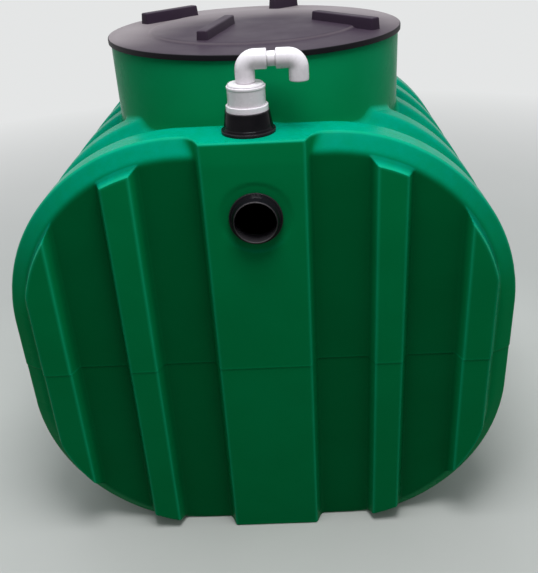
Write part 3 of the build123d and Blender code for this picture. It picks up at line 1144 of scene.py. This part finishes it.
@dataclass
class ManholeNeck:
    """Upright neck that grows out of the barrel with a small concave foot.

    Attributes:
        barrel: Barrel that it stands on.
        outer_r: Outer radius.
        wall: Thickness.
        top_z: Height of its rim.
        foot_r: Radius of the concave foot.
        sunk: How far its outside reaches below the barrel's surface.
        toe: How far the concave foot's lower edge lies below that surface.
        rim_soft: Radius of the rim's soft edges.
        sides: Number of sides.
        painted_light_share: Painted light at its foot.
        painted_light_up: What the painted light gains up to the rim.
        painted_light_side: What it gains at the left and the right.
    """

    barrel: HoopedBarrel
    outer_r: float = 296.0
    wall: float = 8.0
    top_z: float = 995.0
    foot_r: float = 9.0
    sunk: float = 6.0
    toe: float = 0.4
    rim_soft: float = 2.0
    sides: int = 256
    painted_light_share: float = 0.12
    painted_light_up: float = 0.10
    painted_light_side: float = 0.24

    def rows(self) -> np.ndarray:
        """Rows of points from the inner foot round under the wall, up outside and down inside.

        Returns:
            For each row its radius, its share of the way up from the barrel's surface to the
            rim, and its height above the barrel's surface where that share is 0.
        """
        bend = np.linspace(QUARTER, 0, 8)
        foot_r = self.outer_r + self.foot_r * (1 - np.cos(bend))
        foot = np.column_stack([foot_r, 0 * bend, self.foot_r * (1 - np.sin(bend))])
        foot[0, 2] = -self.toe
        up = between(0, 1, 12)
        inner_r, soft = self.outer_r - self.wall, self.rim_soft
        outside = np.column_stack([0 * up + self.outer_r, up, 0 * up + self.foot_r])
        inside = np.column_stack([0 * up + inner_r, up[::-1], 0 * up - self.wall])
        rim = [
            (self.outer_r, 0.992, self.foot_r), (self.outer_r - 0.4 * soft, 0.999, self.foot_r),
            (self.outer_r - soft, 1.0, 0.0), (inner_r + soft, 1.0, 0.0),
            (inner_r + 0.4 * soft, 0.999, 0.0), (inner_r, 0.992, 0.0),
        ]
        under = [(inner_r, 0.0, -self.wall), (self.outer_r, 0.0, -self.sunk)]
        return np.vstack([under, foot, outside, rim, inside])

    def surface(self) -> Surface:
        """Closed ring whose lower edge follows the hoops: z = low + share (rim - low).

        Low is the barrel's crown plus the row's height above it. The painted light grows towards
        the rim and the sides.

        Returns:
            The ring.
        """
        angle = np.linspace(0, 2 * math.pi, self.sides, endpoint=False)[None, :]
        r, share, lift = (column[:, None] for column in self.rows().T)
        x, y = r * np.cos(angle), r * np.sin(angle)
        low = self.barrel.crown(x, y) + lift
        z = low + share * (self.top_z - low)
        # Painted light on the neck, paler towards the rim and at the left and the right.
        painted_light_share = self.painted_light_share + self.painted_light_up * share + self.painted_light_side * eased((np.abs(x) / r - 0.62) / 0.3)
        return Surface.grid(np.stack([x, y, z], -1), around=True, along=True).marked(0.0 * x, painted_light_share)


@dataclass
class Lug:
    """Bar moulded on the lid to turn it by hand.

    Attributes:
        from_edge: Distance of its middle from the lid's edge.
        bearing: Direction of its middle from the middle of the lid, in degrees.
        length: Length at its foot.
        direction: Direction that it points in, in degrees.
    """

    from_edge: float
    bearing: float
    length: float
    direction: float


@dataclass
class Lid:
    """Round lid with a raised middle, a lip and four lugs.

    Attributes:
        r: Outer radius.
        low_z: Height of its seat on the neck.
        plate: Thickness.
        lip: Width of the lip.
        drop: How far the lip hangs down.
        middle_r: Radius of the raised middle.
        rise: Height of the raised middle.
        lug_width: Width of a lug at its foot.
        lug_height: Height of a lug.
        lug_sunk: How far a lug reaches into the plate.
        lug_taper: Lean of a lug's sides in degrees.
        lug_corner: Radius of a lug's upright corners.
        lug_soft: Radius of its upper edges.
        painted_light_share: Strongest share of the painted reflection.
        step_highlight: Share of the painted highlight on the step of the raised middle.
        lugs: The lugs.
    """

    r: float = 301.0
    low_z: float = 995.0
    plate: float = 6.0
    lip: float = 3.5
    drop: float = 4.0
    middle_r: float = 212.0
    rise: float = 5.0
    lug_width: float = 24.0
    lug_height: float = 22.0
    lug_sunk: float = 2.0
    lug_taper: float = 4.0
    lug_corner: float = 3.5
    lug_soft: float = 2.6
    painted_light_share: float = 0.9
    step_highlight: float = 0.3
    lugs: list[Lug] = field(default_factory=lambda: [
        Lug(57.0, 143.0, 144.0, 44.0), Lug(196.0, 226.5, 196.0, 78.0),
        Lug(112.0, -13.0, 178.0, -50.0), Lug(31.0, 77.0, 74.0, 40.0),
    ])

    @property
    def top_z(self) -> float:
        """Height of the plate's upper side outside its raised middle."""
        return self.low_z + self.plate

    def tones(self, x: np.ndarray, y: np.ndarray, z: np.ndarray) -> tuple[np.ndarray, np.ndarray]:
        """Shares of the lid's painted shade and painted light.

        The rim has painted shade. The painted reflection grows with the distance from a place a little in
        front of the middle, less along the front, and the step of the raised middle has a painted highlight.

        Args:
            x: Places across.
            y: Places along.
            z: Heights.

        Returns:
            The two shares.
        """
        from_middle = np.hypot(x, y)
        # Painted shade on the lid's rim and lip.
        side = np.maximum(eased((self.top_z - 1.0 - z) / 1.5), eased((from_middle - self.r + 2.5) / 1.5))
        # Painted reflection that grows away from a place a little in front of the middle, less along the
        # front.
        away = np.hypot(x - 0.13 * self.r, y + 0.4 * self.r) / self.r
        painted_light_share = self.painted_light_share * eased((away - 0.57) / 0.6) * eased((y / self.r + 0.85) / 0.6)
        # Painted highlight on the step of the raised middle.
        step_edge = self.step_highlight * bell(from_middle - self.middle_r - 1.0, 2.5)
        return side, np.maximum(painted_light_share, step_edge) * (1.0 - side)

    def plate_surface(self) -> Surface:
        """Lid without its lugs, turned from its rounded profile.

        Returns:
            The plate with its lip and its raised middle.
        """
        low, top, step, seat_r = self.low_z, self.top_z, self.middle_r + self.rise, self.r - self.lip
        corners = np.array([
            (0.0, low + self.rise), (self.middle_r, low + self.rise), (step, low), (seat_r, low),
            (seat_r, low - self.drop), (self.r, low - self.drop), (self.r, top), (step + 2, top),
            (self.middle_r - 3, top + self.rise), (0.0, top + self.rise),
        ])
        cut = np.array([0, 4, 4, 0.5, 0.8, 0.8, 2.2, 7, 7, 0])
        made = turned(filled(softened(corners, cut, 5, closed=False), 16.0), 192)
        return made.marked(*self.tones(*made.points.T))

    def lug_surface(self, lug: Lug) -> Surface:
        """One lug: loops of a rounded rectangle that shrink upwards and close over its top.

        Args:
            lug: The lug.

        Returns:
            Its closed surface in its place.
        """
        foot_z, top_z, soft = self.top_z - self.lug_sunk, self.top_z + self.lug_height, self.lug_soft
        rise = top_z - foot_z
        lean = rise * math.tan(math.radians(self.lug_taper))
        bend = np.linspace(0, QUARTER, 6)
        drawn = np.concatenate([[0.0, lean * 0.5], lean - 0.2 + soft * (1 - np.cos(bend))])
        height = np.concatenate([[foot_z, foot_z + rise * 0.5], top_z - soft + soft * np.sin(bend)])
        close = np.concatenate([np.ones(len(drawn)), [0.7, 0.35, 0.0]])[:, None]
        drawn, height = (np.pad(row, (0, 3), mode="edge")[:, None] for row in (drawn, height))
        angle = (bend[None, :] + np.arange(4)[:, None] * QUARTER).ravel()[None, :]
        side_x = np.repeat([1.0, -1.0, -1.0, 1.0], 6)[None, :]
        side_y = np.repeat([1.0, 1.0, -1.0, -1.0], 6)[None, :]
        u = side_x * (lug.length / 2 - self.lug_corner - drawn) + self.lug_corner * np.cos(angle)
        v = side_y * (self.lug_width / 2 - self.lug_corner - drawn) + self.lug_corner * np.sin(angle)
        points = np.stack(np.broadcast_arrays(u * close, v * close, height), -1)
        closed_foot = np.concatenate([points[:1] * [0, 0, 1], points])
        away, bearing = self.r - lug.from_edge, math.radians(lug.bearing)
        turn = Matrix.Rotation(math.radians(lug.direction), 3, "Z")
        place = (away * math.cos(bearing), away * math.sin(bearing), 0.0)
        return Surface.grid(closed_foot, around=True).placed(turn, place)


@dataclass
class Grommet:
    """Rubber grommet with its bore along Z and the wall's outer face at z 0.

    Attributes:
        bore_r: Radius of the bore.
        wall: Wall that it grips.
        neck_r: Radius where it passes through the wall.
        lip: Length of its lip inside the wall.
        lip_out: How far the lip stands out behind the wall.
        flange_r: Radius of the flange.
        flange: Thickness of the flange.
        body_r: Radius of the body above the flange.
        top_r: Radius of the body at its top.
        height: Height over the wall.
        mouth_highlight: Painted highlight round the mouth's edge.
        mouth_side: What it gains at two opposite sides.
        flange_highlight: Painted highlight on the flange's edge.
        bore_painted_light: Tone of the painted light along one side of the bore.
        bore_painted_light_depth: Depth of that painted light.
    """

    bore_r: float = 37.0
    wall: float = 8.0
    neck_r: float = 40.5
    lip: float = 7.0
    lip_out: float = 1.5
    flange_r: float = 48.0
    flange: float = 6.0
    body_r: float = 45.0
    top_r: float = 39.0
    height: float = 22.0
    mouth_highlight: float = 0.12
    mouth_side: float = 0.48
    flange_highlight: float = 0.1
    bore_painted_light: float = 0.16
    bore_painted_light_depth: float = 30.0

    def profile(self) -> np.ndarray:
        """Rounded closed line of the grommet, with a bead round the foot of its body.

        Returns:
            Rows of (radius, height).
        """
        low, lean = -self.wall, (self.body_r - self.top_r) / (self.height - self.flange)
        through, bead = self.neck_r - 0.2, self.body_r + 0.1
        corners = np.array([
            (self.bore_r, low - self.lip), (self.neck_r, low - self.lip), (self.neck_r + self.lip_out, low),
            (through, low), (through, 0.0), (self.flange_r, 0.0), (self.flange_r, self.flange - 0.4),
            (bead, self.flange - 0.2), (bead - lean * 3.2, self.flange + 3.2),
            (self.body_r - lean * 5.0 - 0.9, self.flange + 4.2), (self.top_r, self.height - 0.6),
            (self.top_r - 0.5, self.height), (self.bore_r, self.height),
        ])
        cut = np.array([1.5, 1, 0.4, 0.4, 0.4, 1.2, 2.2, 0.8, 1.2, 0.8, 0.9, 0.3, 0.9])
        return filled_ring(softened(corners, cut, 4, closed=True), 2.0)

    def surface(self) -> Surface:
        """Grommet turned from its profile.

        Its mouth's edge has a painted highlight, most at two opposite sides, its flange's edge a little,
        and painted light lies along one side of the bore near the mouth.

        Returns:
            The grommet.
        """
        made = turned(self.profile(), 96)
        x, y, z = made.points.T
        r, over = np.hypot(x, y), z - self.height
        # Painted highlights round the mouth and on the flange's edge.
        mouth = bell(over, 0.9) * (self.mouth_highlight + self.mouth_side * (y / r) ** 2)
        edge = self.flange_highlight * eased((r - self.flange_r + 2.0) / 1.5)
        # Painted light along one side of the bore near the mouth.
        inside = (r < self.bore_r + 0.5) * eased((-y / r - 0.1) / 0.6)
        dust_and_painted_light = self.bore_painted_light * inside * eased((over + self.bore_painted_light_depth) / 26.0)
        return made.marked(0.0 * r, np.max(np.stack([mouth, edge, dust_and_painted_light]), axis=0))


@dataclass
class Elbow:
    """Pipe elbow with its corner at the origin, one leg down and one along +X.

    Attributes:
        r: Outer radius.
        leg: Distance from the corner to each end.
        bend_r: Radius of the bend's middle line.
        bore_r: Radius of the bore.
        socket_r: Radius of the sockets.
        socket: Depth of the sockets.
    """

    r: float = 17.0
    leg: float = 38.0
    bend_r: float = 17.5
    bore_r: float = 10.3
    socket_r: float = 12.65
    socket: float = 19.0

    def surface(self) -> Surface:
        """Closed elbow: circles carried along its middle line, outside and back through the bore.

        The middle line runs up, round a quarter circle and along +X. At distance s it is at
        (b - b cos a, -b + b sin a) with a = (s - straight) / b held in 0 to 90 degrees, plus
        what is left of s on the straights.

        Returns:
            The elbow.
        """
        straight = self.leg - self.bend_r
        total = 2 * straight + self.bend_r * QUARTER
        near, far = self.socket, total - self.socket
        corners = np.array([
            (0.0, self.socket_r), (0.0, self.r), (total, self.r), (total, self.socket_r),
            (far, self.socket_r), (far, self.bore_r), (near, self.bore_r), (near, self.socket_r),
        ])
        cut = np.array([0.8, 2.0, 2.0, 0.8, 0.3, 0.3, 0.3, 0.3])
        s, r = filled_ring(softened(corners, cut, 4, closed=True), 2.6).T
        a = np.clip((s - straight) / self.bend_r, 0.0, QUARTER)
        before, after = np.minimum(s, straight), np.maximum(s - total + straight, 0.0)
        middle_x = self.bend_r * (1 - np.cos(a)) + after
        middle_z = -self.leg + before + self.bend_r * np.sin(a)
        turn = np.linspace(0, 2 * math.pi, 48, endpoint=False)[None, :]
        outward = r[:, None] * np.cos(turn)
        points = np.stack([
            middle_x[:, None] - np.cos(a)[:, None] * outward,
            r[:, None] * np.sin(turn),
            middle_z[:, None] + np.sin(a)[:, None] * outward,
        ], -1)
        return Surface.grid(points, around=True, along=True)


@dataclass
class Vent:
    """Gooseneck vent on the end hoop, from the grommet up to its open elbow.

    Attributes:
        x: Place of its axis.
        y: Place of its axis.
        foot_z: Height of the crest that it stands on.
        grommet: Height of its grommet.
        stub_low: Height of the foot of the pipe in the grommet.
        stub_top: Top of that pipe, above the crest.
        stub_r: Outer radius of that pipe.
        stub_bore: Radius of its bore.
        coupling: Height of the coupling above that pipe.
        coupling_plug: How far the coupling goes down into that pipe.
        coupling_r: Outer radius of the coupling.
        coupling_bore: Radius of its bore.
        bead: How far its upper bead stands out.
        bead_height: Height of that bead.
        bush: Height of the bush above the coupling.
        bush_r: Outer radius of the bush.
        bush_plug: How far the bush goes down into the coupling.
        bush_slip: How much thinner its plug is than the coupling's bore.
        thin_r: Outer radius of the thin pipe.
        link: Length of pipe that shows between the elbows.
        dirt: Share of the dirt at the link's joints.
        dirt_width: Width of a dirt line's bell curve.
        elbow: The elbow that it has twice.
    """

    x: float = -6.0
    y: float = -346.5
    foot_z: float = 880.0
    grommet: float = 38.5
    stub_low: float = 850.0
    stub_top: float = 48.0
    stub_r: float = 36.85
    stub_bore: float = 33.05
    coupling: float = 32.0
    coupling_plug: float = 18.0
    coupling_r: float = 33.0
    coupling_bore: float = 30.0
    bead: float = 0.9
    bead_height: float = 4.0
    bush: float = 4.0
    bush_r: float = 31.5
    bush_plug: float = 16.0
    bush_slip: float = 0.15
    thin_r: float = 12.5
    link: float = 15.0
    dirt: float = 0.8
    dirt_width: float = 1.1
    elbow: Elbow = field(default_factory=Elbow)

    @property
    def coupling_low(self) -> float:
        """Height at which the coupling shows, which is the stub's top."""
        return self.foot_z + self.stub_top

    @property
    def bush_low(self) -> float:
        """Height at which the bush shows."""
        return self.coupling_low + self.coupling

    @property
    def bush_top(self) -> float:
        """Height of the bush's top."""
        return self.bush_low + self.bush

    def on_axis(self, corners: list[tuple[float, float]], cut: list[float], steps: int = 4) -> Surface:
        """Fitting turned round the vent's axis from its (radius, height) corners, drawn round by cut."""
        line = softened(np.array(corners), np.array(cut), steps, closed=True)
        return turned(line, 96).placed(shift=(self.x, self.y, 0.0))

    def thin_pipe(self, low: float, high: float) -> np.ndarray:
        """Closed (radius, height) line of a thin pipe with soft ends."""
        r, bore_r = self.thin_r, self.elbow.bore_r
        return softened(np.array([(bore_r, low), (r, low), (r, high), (bore_r, high)]), 0.6, 4, closed=True)

    def stub_pipe(self) -> Surface:
        """Pipe in the grommet, whose upper edge is rounded."""
        low, top, bore, r = self.stub_low, self.coupling_low, self.stub_bore, self.stub_r
        return self.on_axis([(bore, low), (r, low), (r, top), (bore, top)], [0.8, 0.8, 3.2, 1.0], 5)

    def coupling_bell(self) -> Surface:
        """Coupling with a bead round its upper end.

        Returns:
            The coupling.
        """
        low, top, bead_r = self.coupling_low - self.coupling_plug, self.bush_low, self.coupling_r + self.bead
        under = top - self.bead_height
        return self.on_axis([
            (self.coupling_bore, low), (self.coupling_r, low), (self.coupling_r, under - 1), (bead_r, under),
            (bead_r, top), (self.coupling_bore, top),
        ], [0.8, 0.8, 0.8, 0.8, 1.6, 0.8])

    def bush_cap(self) -> Surface:
        """Bush with its plug in the coupling and its sloping head.

        Returns:
            The bush.
        """
        low, plug_low, bore = self.bush_low, self.bush_low - self.bush_plug, self.elbow.socket_r
        plug_r = self.coupling_bore - self.bush_slip
        return self.on_axis([
            (bore, plug_low), (plug_r, plug_low), (plug_r, low), (self.bush_r, low), (self.bush_r, low + 1.8),
            (29.6, self.bush_top), (bore, self.bush_top),
        ], [0.8, 0.8, 0.3, 0.3, 0.8, 0.9, 0.8])

    def link_pipe(self, height: float) -> Surface:
        """Thin pipe between the elbows, with a dirt line where it enters each of them.

        Args:
            height: Height of its axis.

        Returns:
            The pipe, lying along X.
        """
        socket = self.elbow.socket
        low = self.x + self.elbow.leg - socket
        upright = turned(filled_ring(self.thin_pipe(low, low + self.link + 2 * socket), 1.5), 48)
        along = upright.points[:, 2] - low - socket
        dirt = self.dirt * bell(np.minimum(np.abs(along), np.abs(along - self.link)), self.dirt_width)
        lay = Matrix.Rotation(QUARTER, 3, "Y")
        return upright.marked(dirt, 0.0 * dirt).placed(lay, (0.0, self.y, height))

    def pieces(self) -> list[Piece]:
        """The vent's pieces.

        Returns:
            The pieces from the grommet up, each on the node that it stands for.
        """
        elbow_z = self.bush_top + self.elbow.leg
        riser = self.thin_pipe(self.bush_low - self.bush_plug, self.bush_top + self.elbow.socket)
        about = Matrix.Rotation(math.pi, 3, "Z")
        upper_x = self.x + 2 * self.elbow.leg + self.link
        seal = Grommet(height=self.grommet).surface().placed(shift=(self.x, self.y, self.foot_z))
        upright = turned(riser, 48).placed(shift=(self.x, self.y, 0.0))
        lower_bend = self.elbow.surface().placed(shift=(self.x, self.y, elbow_z))
        upper_bend = self.elbow.surface().placed(about, (upper_x, self.y, elbow_z))
        made = [
            ("vent_seal", seal, Slot.RUBBER, "vent_grommet"),
            ("vent_stub", self.stub_pipe(), Slot.PIPE, "vent_stub_pipe"),
            ("vent_socket", self.coupling_bell(), Slot.PIPE, "vent_coupling"),
            ("vent_bush", self.bush_cap(), Slot.PIPE, "vent_reducing_bush"),
            ("vent_riser", upright, Slot.PIPE, "vent_riser_pipe"),
            ("vent_bend_lower", lower_bend, Slot.PIPE, "vent_elbow_lower"),
            ("vent_link", self.link_pipe(elbow_z), Slot.PIPE, "vent_link_pipe"),
            ("vent_bend_upper", upper_bend, Slot.PIPE, "vent_elbow_upper"),
        ]
        return [Piece(name, surface, Body.TANK, slot, (node,), 40.0) for name, surface, slot, node in made]


@dataclass
class GreaseTrap:
    """The whole trap, piece by piece.

    Attributes:
        outline: Outline over the hoops' crests.
        port_wall: Thickness that a port's grommet grips.
    """

    outline: TankOutline = field(default_factory=TankOutline)
    port_wall: float = 6.5

    def pieces(self) -> list[Piece]:
        """Every piece of the trap.

        Returns:
            The pieces in the order in which they are made.
        """
        barrel = HoopedBarrel(self.outline)
        end = RibbedEnd(self.outline)
        front = end.surface()
        lid = Lid()
        facing = Matrix.Rotation(QUARTER, 3, "X")
        pad_y = end.end_y + end.face - end.pad
        front_port = Grommet(wall=self.port_wall).surface().placed(facing, (0.0, -pad_y, end.port_z))
        plastic, rubber = Slot.TANK, Slot.RUBBER
        made = [
            Piece("barrel", barrel.surface(), Body.TANK, plastic, ("lower_shell", "upper_shell")),
            Piece("front_wall", front, Body.TANK, plastic, ("front_end_lower", "front_end_upper")),
            Piece("rear_wall", front.mirrored(1), Body.TANK, plastic, ("rear_end_lower", "rear_end_upper")),
            Piece("neck", ManholeNeck(barrel).surface(), Body.TANK, plastic, ("manhole_neck",)),
            Piece("front_port_seal", front_port, Body.TANK, rubber, ("front_port_grommet",), 40.0),
            Piece("rear_port_seal", front_port.mirrored(1), Body.TANK, rubber, ("rear_port_grommet",), 40.0),
            Piece("lid_plate", lid.plate_surface(), Body.LID, Slot.LID, ("lid",), 40.0),
        ]
        for number, lug in enumerate(lid.lugs, 1):
            made.append(Piece(f"lid_lug_{number}", lid.lug_surface(lug), Body.LID, Slot.LID, (), 40.0))
        return made + Vent().pieces()


@dataclass(frozen=True)
class Lamp:
    """Square soft light.

    Attributes:
        name: Its name.
        place: Where it hangs, in metres.
        aim: What it is turned to, in metres.
        size: Length of its side in metres.
        power: Power in watts.
        colour: Colour of its light.
    """

    name: str
    place: Triple
    aim: Triple
    size: float
    power: float
    colour: Triple

    def build(self) -> None:
        """Make the light and turn it to its aim."""
        data = bpy.data.lights.new(self.name, "AREA")
        data.shape, data.size, data.energy, data.color = "SQUARE", self.size, self.power, self.colour
        thing = bpy.data.objects.new(self.name, data)
        bpy.context.scene.collection.objects.link(thing)
        thing.location = self.place
        ahead = Vector(self.aim) - Vector(self.place)
        thing.rotation_euler = ahead.to_track_quat("-Z", "Y").to_euler()


KEY_PANEL = Lamp("key_panel", (0.10, -0.80, 2.4), (0.0, -0.25, 0.8), 0.9, 34.0, (0.93, 0.99, 1.0))
SKY_PANEL = Lamp("sky_panel", (-0.2, 0.6, 3.3), (0.0, 0.0, 0.6), 2.2, 30.0, (0.90, 0.98, 1.0))


@dataclass
class Studio:
    """Plain floor, soft lights and the camera.

    Attributes:
        eye: Place of the camera in millimetres.
        pitch: How far it looks down, in degrees.
        yaw: How far it looks to the right, in degrees.
        roll: How far it is rolled, in degrees.
        focal: Focal length in pixels of the photograph.
        centre_x: Column of the photograph that the axis goes through.
        long_side: Long side of the photograph in pixels.
        short_side: Its short side.
        film_width: Width of the camera's film in millimetres.
        level: Strength of the world everywhere.
        sky: Strength that it gains overhead.
        rear_wall: Strength that it gains along the rear horizon.
        side_walls: Strength that it gains at both sides.
        right_gain: How much more it gains at the right than in the middle.
        shown: Strength of the backdrop that is seen.
        world_tone: Colour of the world's light.
        backdrop_tone: Colour of the backdrop that is seen.
        floor_tones: Two colours that the floor's tone wanders between.
        floor_glow: Colour that the floor lends to what stands on it.
        floor_far: Colour that the floor fades to.
        floor_fade: Distances in metres at which the fade starts and ends.
    """

    eye: Triple = (70.8, -1604.1, 1247.5)
    pitch: float = 28.36
    yaw: float = -1.07
    roll: float = 2.83
    focal: float = 734.0
    centre_x: float = 287.0
    long_side: float = 573.0
    short_side: float = 538.0
    film_width: float = 36.0
    level: float = 0.03
    sky: float = 0.35
    rear_wall: float = 1.0
    side_walls: float = 0.6
    right_gain: float = 0.22
    shown: float = 0.8
    world_tone: Triple = (0.88, 0.97, 1.0)
    backdrop_tone: Triple = (0.975, 0.988, 0.988)
    floor_tones: tuple[Triple, Triple] = ((0.54, 0.52, 0.50), (0.58, 0.56, 0.54))
    floor_glow: Triple = (0.30, 0.28, 0.26)
    floor_far: Triple = (0.78, 0.79, 0.79)
    floor_fade: tuple[float, float] = (1.2, 3.6)

    def floor(self) -> None:
        """Pale floor that is plain apart from slight unevenness of its tone, and fades to the backdrop."""
        bpy.ops.mesh.primitive_plane_add(size=60.0)
        thing = bpy.context.object
        thing.name = "floor"
        made = bpy.data.materials.new("pale_floor")
        made.use_nodes = True
        graph = NodeGraph(made)
        shader = made.node_tree.nodes["Principled BSDF"]
        place = graph.object_place()
        seen = graph.seen()
        first, second = ((*tone, 1.0) for tone in self.floor_tones)
        plain = graph.mix(graph.noise(place, 3.0, 4.0), first, second)
        graph.link(graph.mix(seen, (*self.floor_glow, 1.0), plain), shader.inputs["Base Color"])
        shader.inputs["Roughness"].default_value = 0.75
        away = graph.node("ShaderNodeVectorMath", operation="LENGTH", i0=place).outputs["Value"]
        pale = graph.node("ShaderNodeEmission", Color=(*self.floor_far, 1.0), Strength=1.0)
        far = graph.sums("MULTIPLY", seen, graph.ramp(away, *self.floor_fade))
        both = graph.node("ShaderNodeMixShader", i0=far, i1=shader.outputs[0], i2=pale.outputs[0])
        graph.link(both.outputs[0], made.node_tree.nodes["Material Output"].inputs["Surface"])
        thing.data.materials.append(made)

    def world_strength(self, graph: NodeGraph) -> Socket:
        """Strength of the world's light in a direction.

        It is a level, plus a share that rises with the height, plus shares that rise towards
        the rear left and towards both sides, more on the right, and fade half way up.

        Args:
            graph: The world's nodes.

        Returns:
            The strength.
        """
        toward = graph.node("ShaderNodeTexCoord").outputs["Generated"]
        height = graph.node("ShaderNodeSeparateXYZ", Vector=toward).outputs["Z"]
        rear_left = (-0.35, 0.94, 0.0)
        behind = graph.node("ShaderNodeVectorMath", operation="DOT_PRODUCT", i0=toward, i1=rear_left)
        above = graph.ramp(height, 0.1, 0.95, 0.0, self.sky)
        rear = graph.ramp(behind.outputs["Value"], 0.15, 0.9, 0.0, self.rear_wall)
        sideways = graph.node("ShaderNodeSeparateXYZ", Vector=toward).outputs["X"]
        more_right = graph.sums("MULTIPLY", sideways, self.right_gain)
        across = graph.sums("ADD", graph.sums("ABSOLUTE", sideways, 0.0), more_right)
        beside = graph.ramp(across, 0.5, 0.95, 0.0, self.side_walls)
        fading = graph.ramp(height, 0.45, 0.85, 1.0, 0.0)
        walls = graph.sums("MULTIPLY", graph.sums("ADD", rear, beside), fading)
        return graph.sums("ADD", graph.sums("ADD", above, self.level), walls)

    def world(self) -> None:
        """World that is dim in front, brighter overhead and at the sides, and pale to look at."""
        made = bpy.data.worlds.new("studio")
        made.use_nodes = True
        graph = NodeGraph(made)
        strength, seen = self.world_strength(graph), graph.seen()
        chosen = graph.node("ShaderNodeMix", data_type="FLOAT", i0=seen, i2=strength, i3=self.shown)
        background = made.node_tree.nodes["Background"].inputs
        graph.link(graph.mix(seen, (*self.world_tone, 1.0), (*self.backdrop_tone, 1.0)), background["Color"])
        graph.link(chosen.outputs[0], background["Strength"])
        bpy.context.scene.world = made

    def camera(self) -> None:
        """Camera at the photograph's place, from its pitch, yaw and roll."""
        pitch, yaw, roll = (math.radians(value) for value in (self.pitch, self.yaw, self.roll))
        ahead = Vector((math.sin(yaw) * math.cos(pitch), math.cos(yaw) * math.cos(pitch), -math.sin(pitch)))
        level = Vector((math.cos(yaw), -math.sin(yaw), 0.0))
        down = ahead.cross(level)
        right = math.cos(roll) * level + math.sin(roll) * down
        up = math.sin(roll) * level - math.cos(roll) * down
        data = bpy.data.cameras.new("photo_view")
        data.sensor_width = self.film_width
        data.lens = self.film_width * self.focal / self.long_side
        data.shift_x = (self.short_side / 2 - self.centre_x) / self.long_side
        thing = bpy.data.objects.new("photo_view", data)
        bpy.context.scene.collection.objects.link(thing)
        turn = Matrix((right, up, -ahead)).transposed().to_4x4()
        thing.matrix_world = Matrix.Translation(Vector(self.eye) * MM) @ turn
        bpy.context.scene.camera = thing

    def build(self) -> None:
        """Set up the whole studio."""
        self.floor()
        for lamp in (KEY_PANEL, SKY_PANEL):
            lamp.build()
        self.world()
        self.camera()
        bpy.context.scene.view_settings.view_transform = "Standard"


def main() -> None:
    """Build the trap and the studio."""
    logging.basicConfig(level=logging.INFO, format="%(name)s: %(message)s")
    finishes = {
        Slot.TANK: GREEN_PLASTIC, Slot.LID: BLACK_PLASTIC, Slot.RUBBER: BLACK_RUBBER, Slot.PIPE: WHITE_PIPE,
    }
    materials = {slot: finish.material() for slot, finish in finishes.items()}
    for piece in GreaseTrap().pieces():
        piece.build(materials[piece.slot])
    Studio().build()
    bpy.context.view_layer.update()


if __name__ == "__main__":
    main()
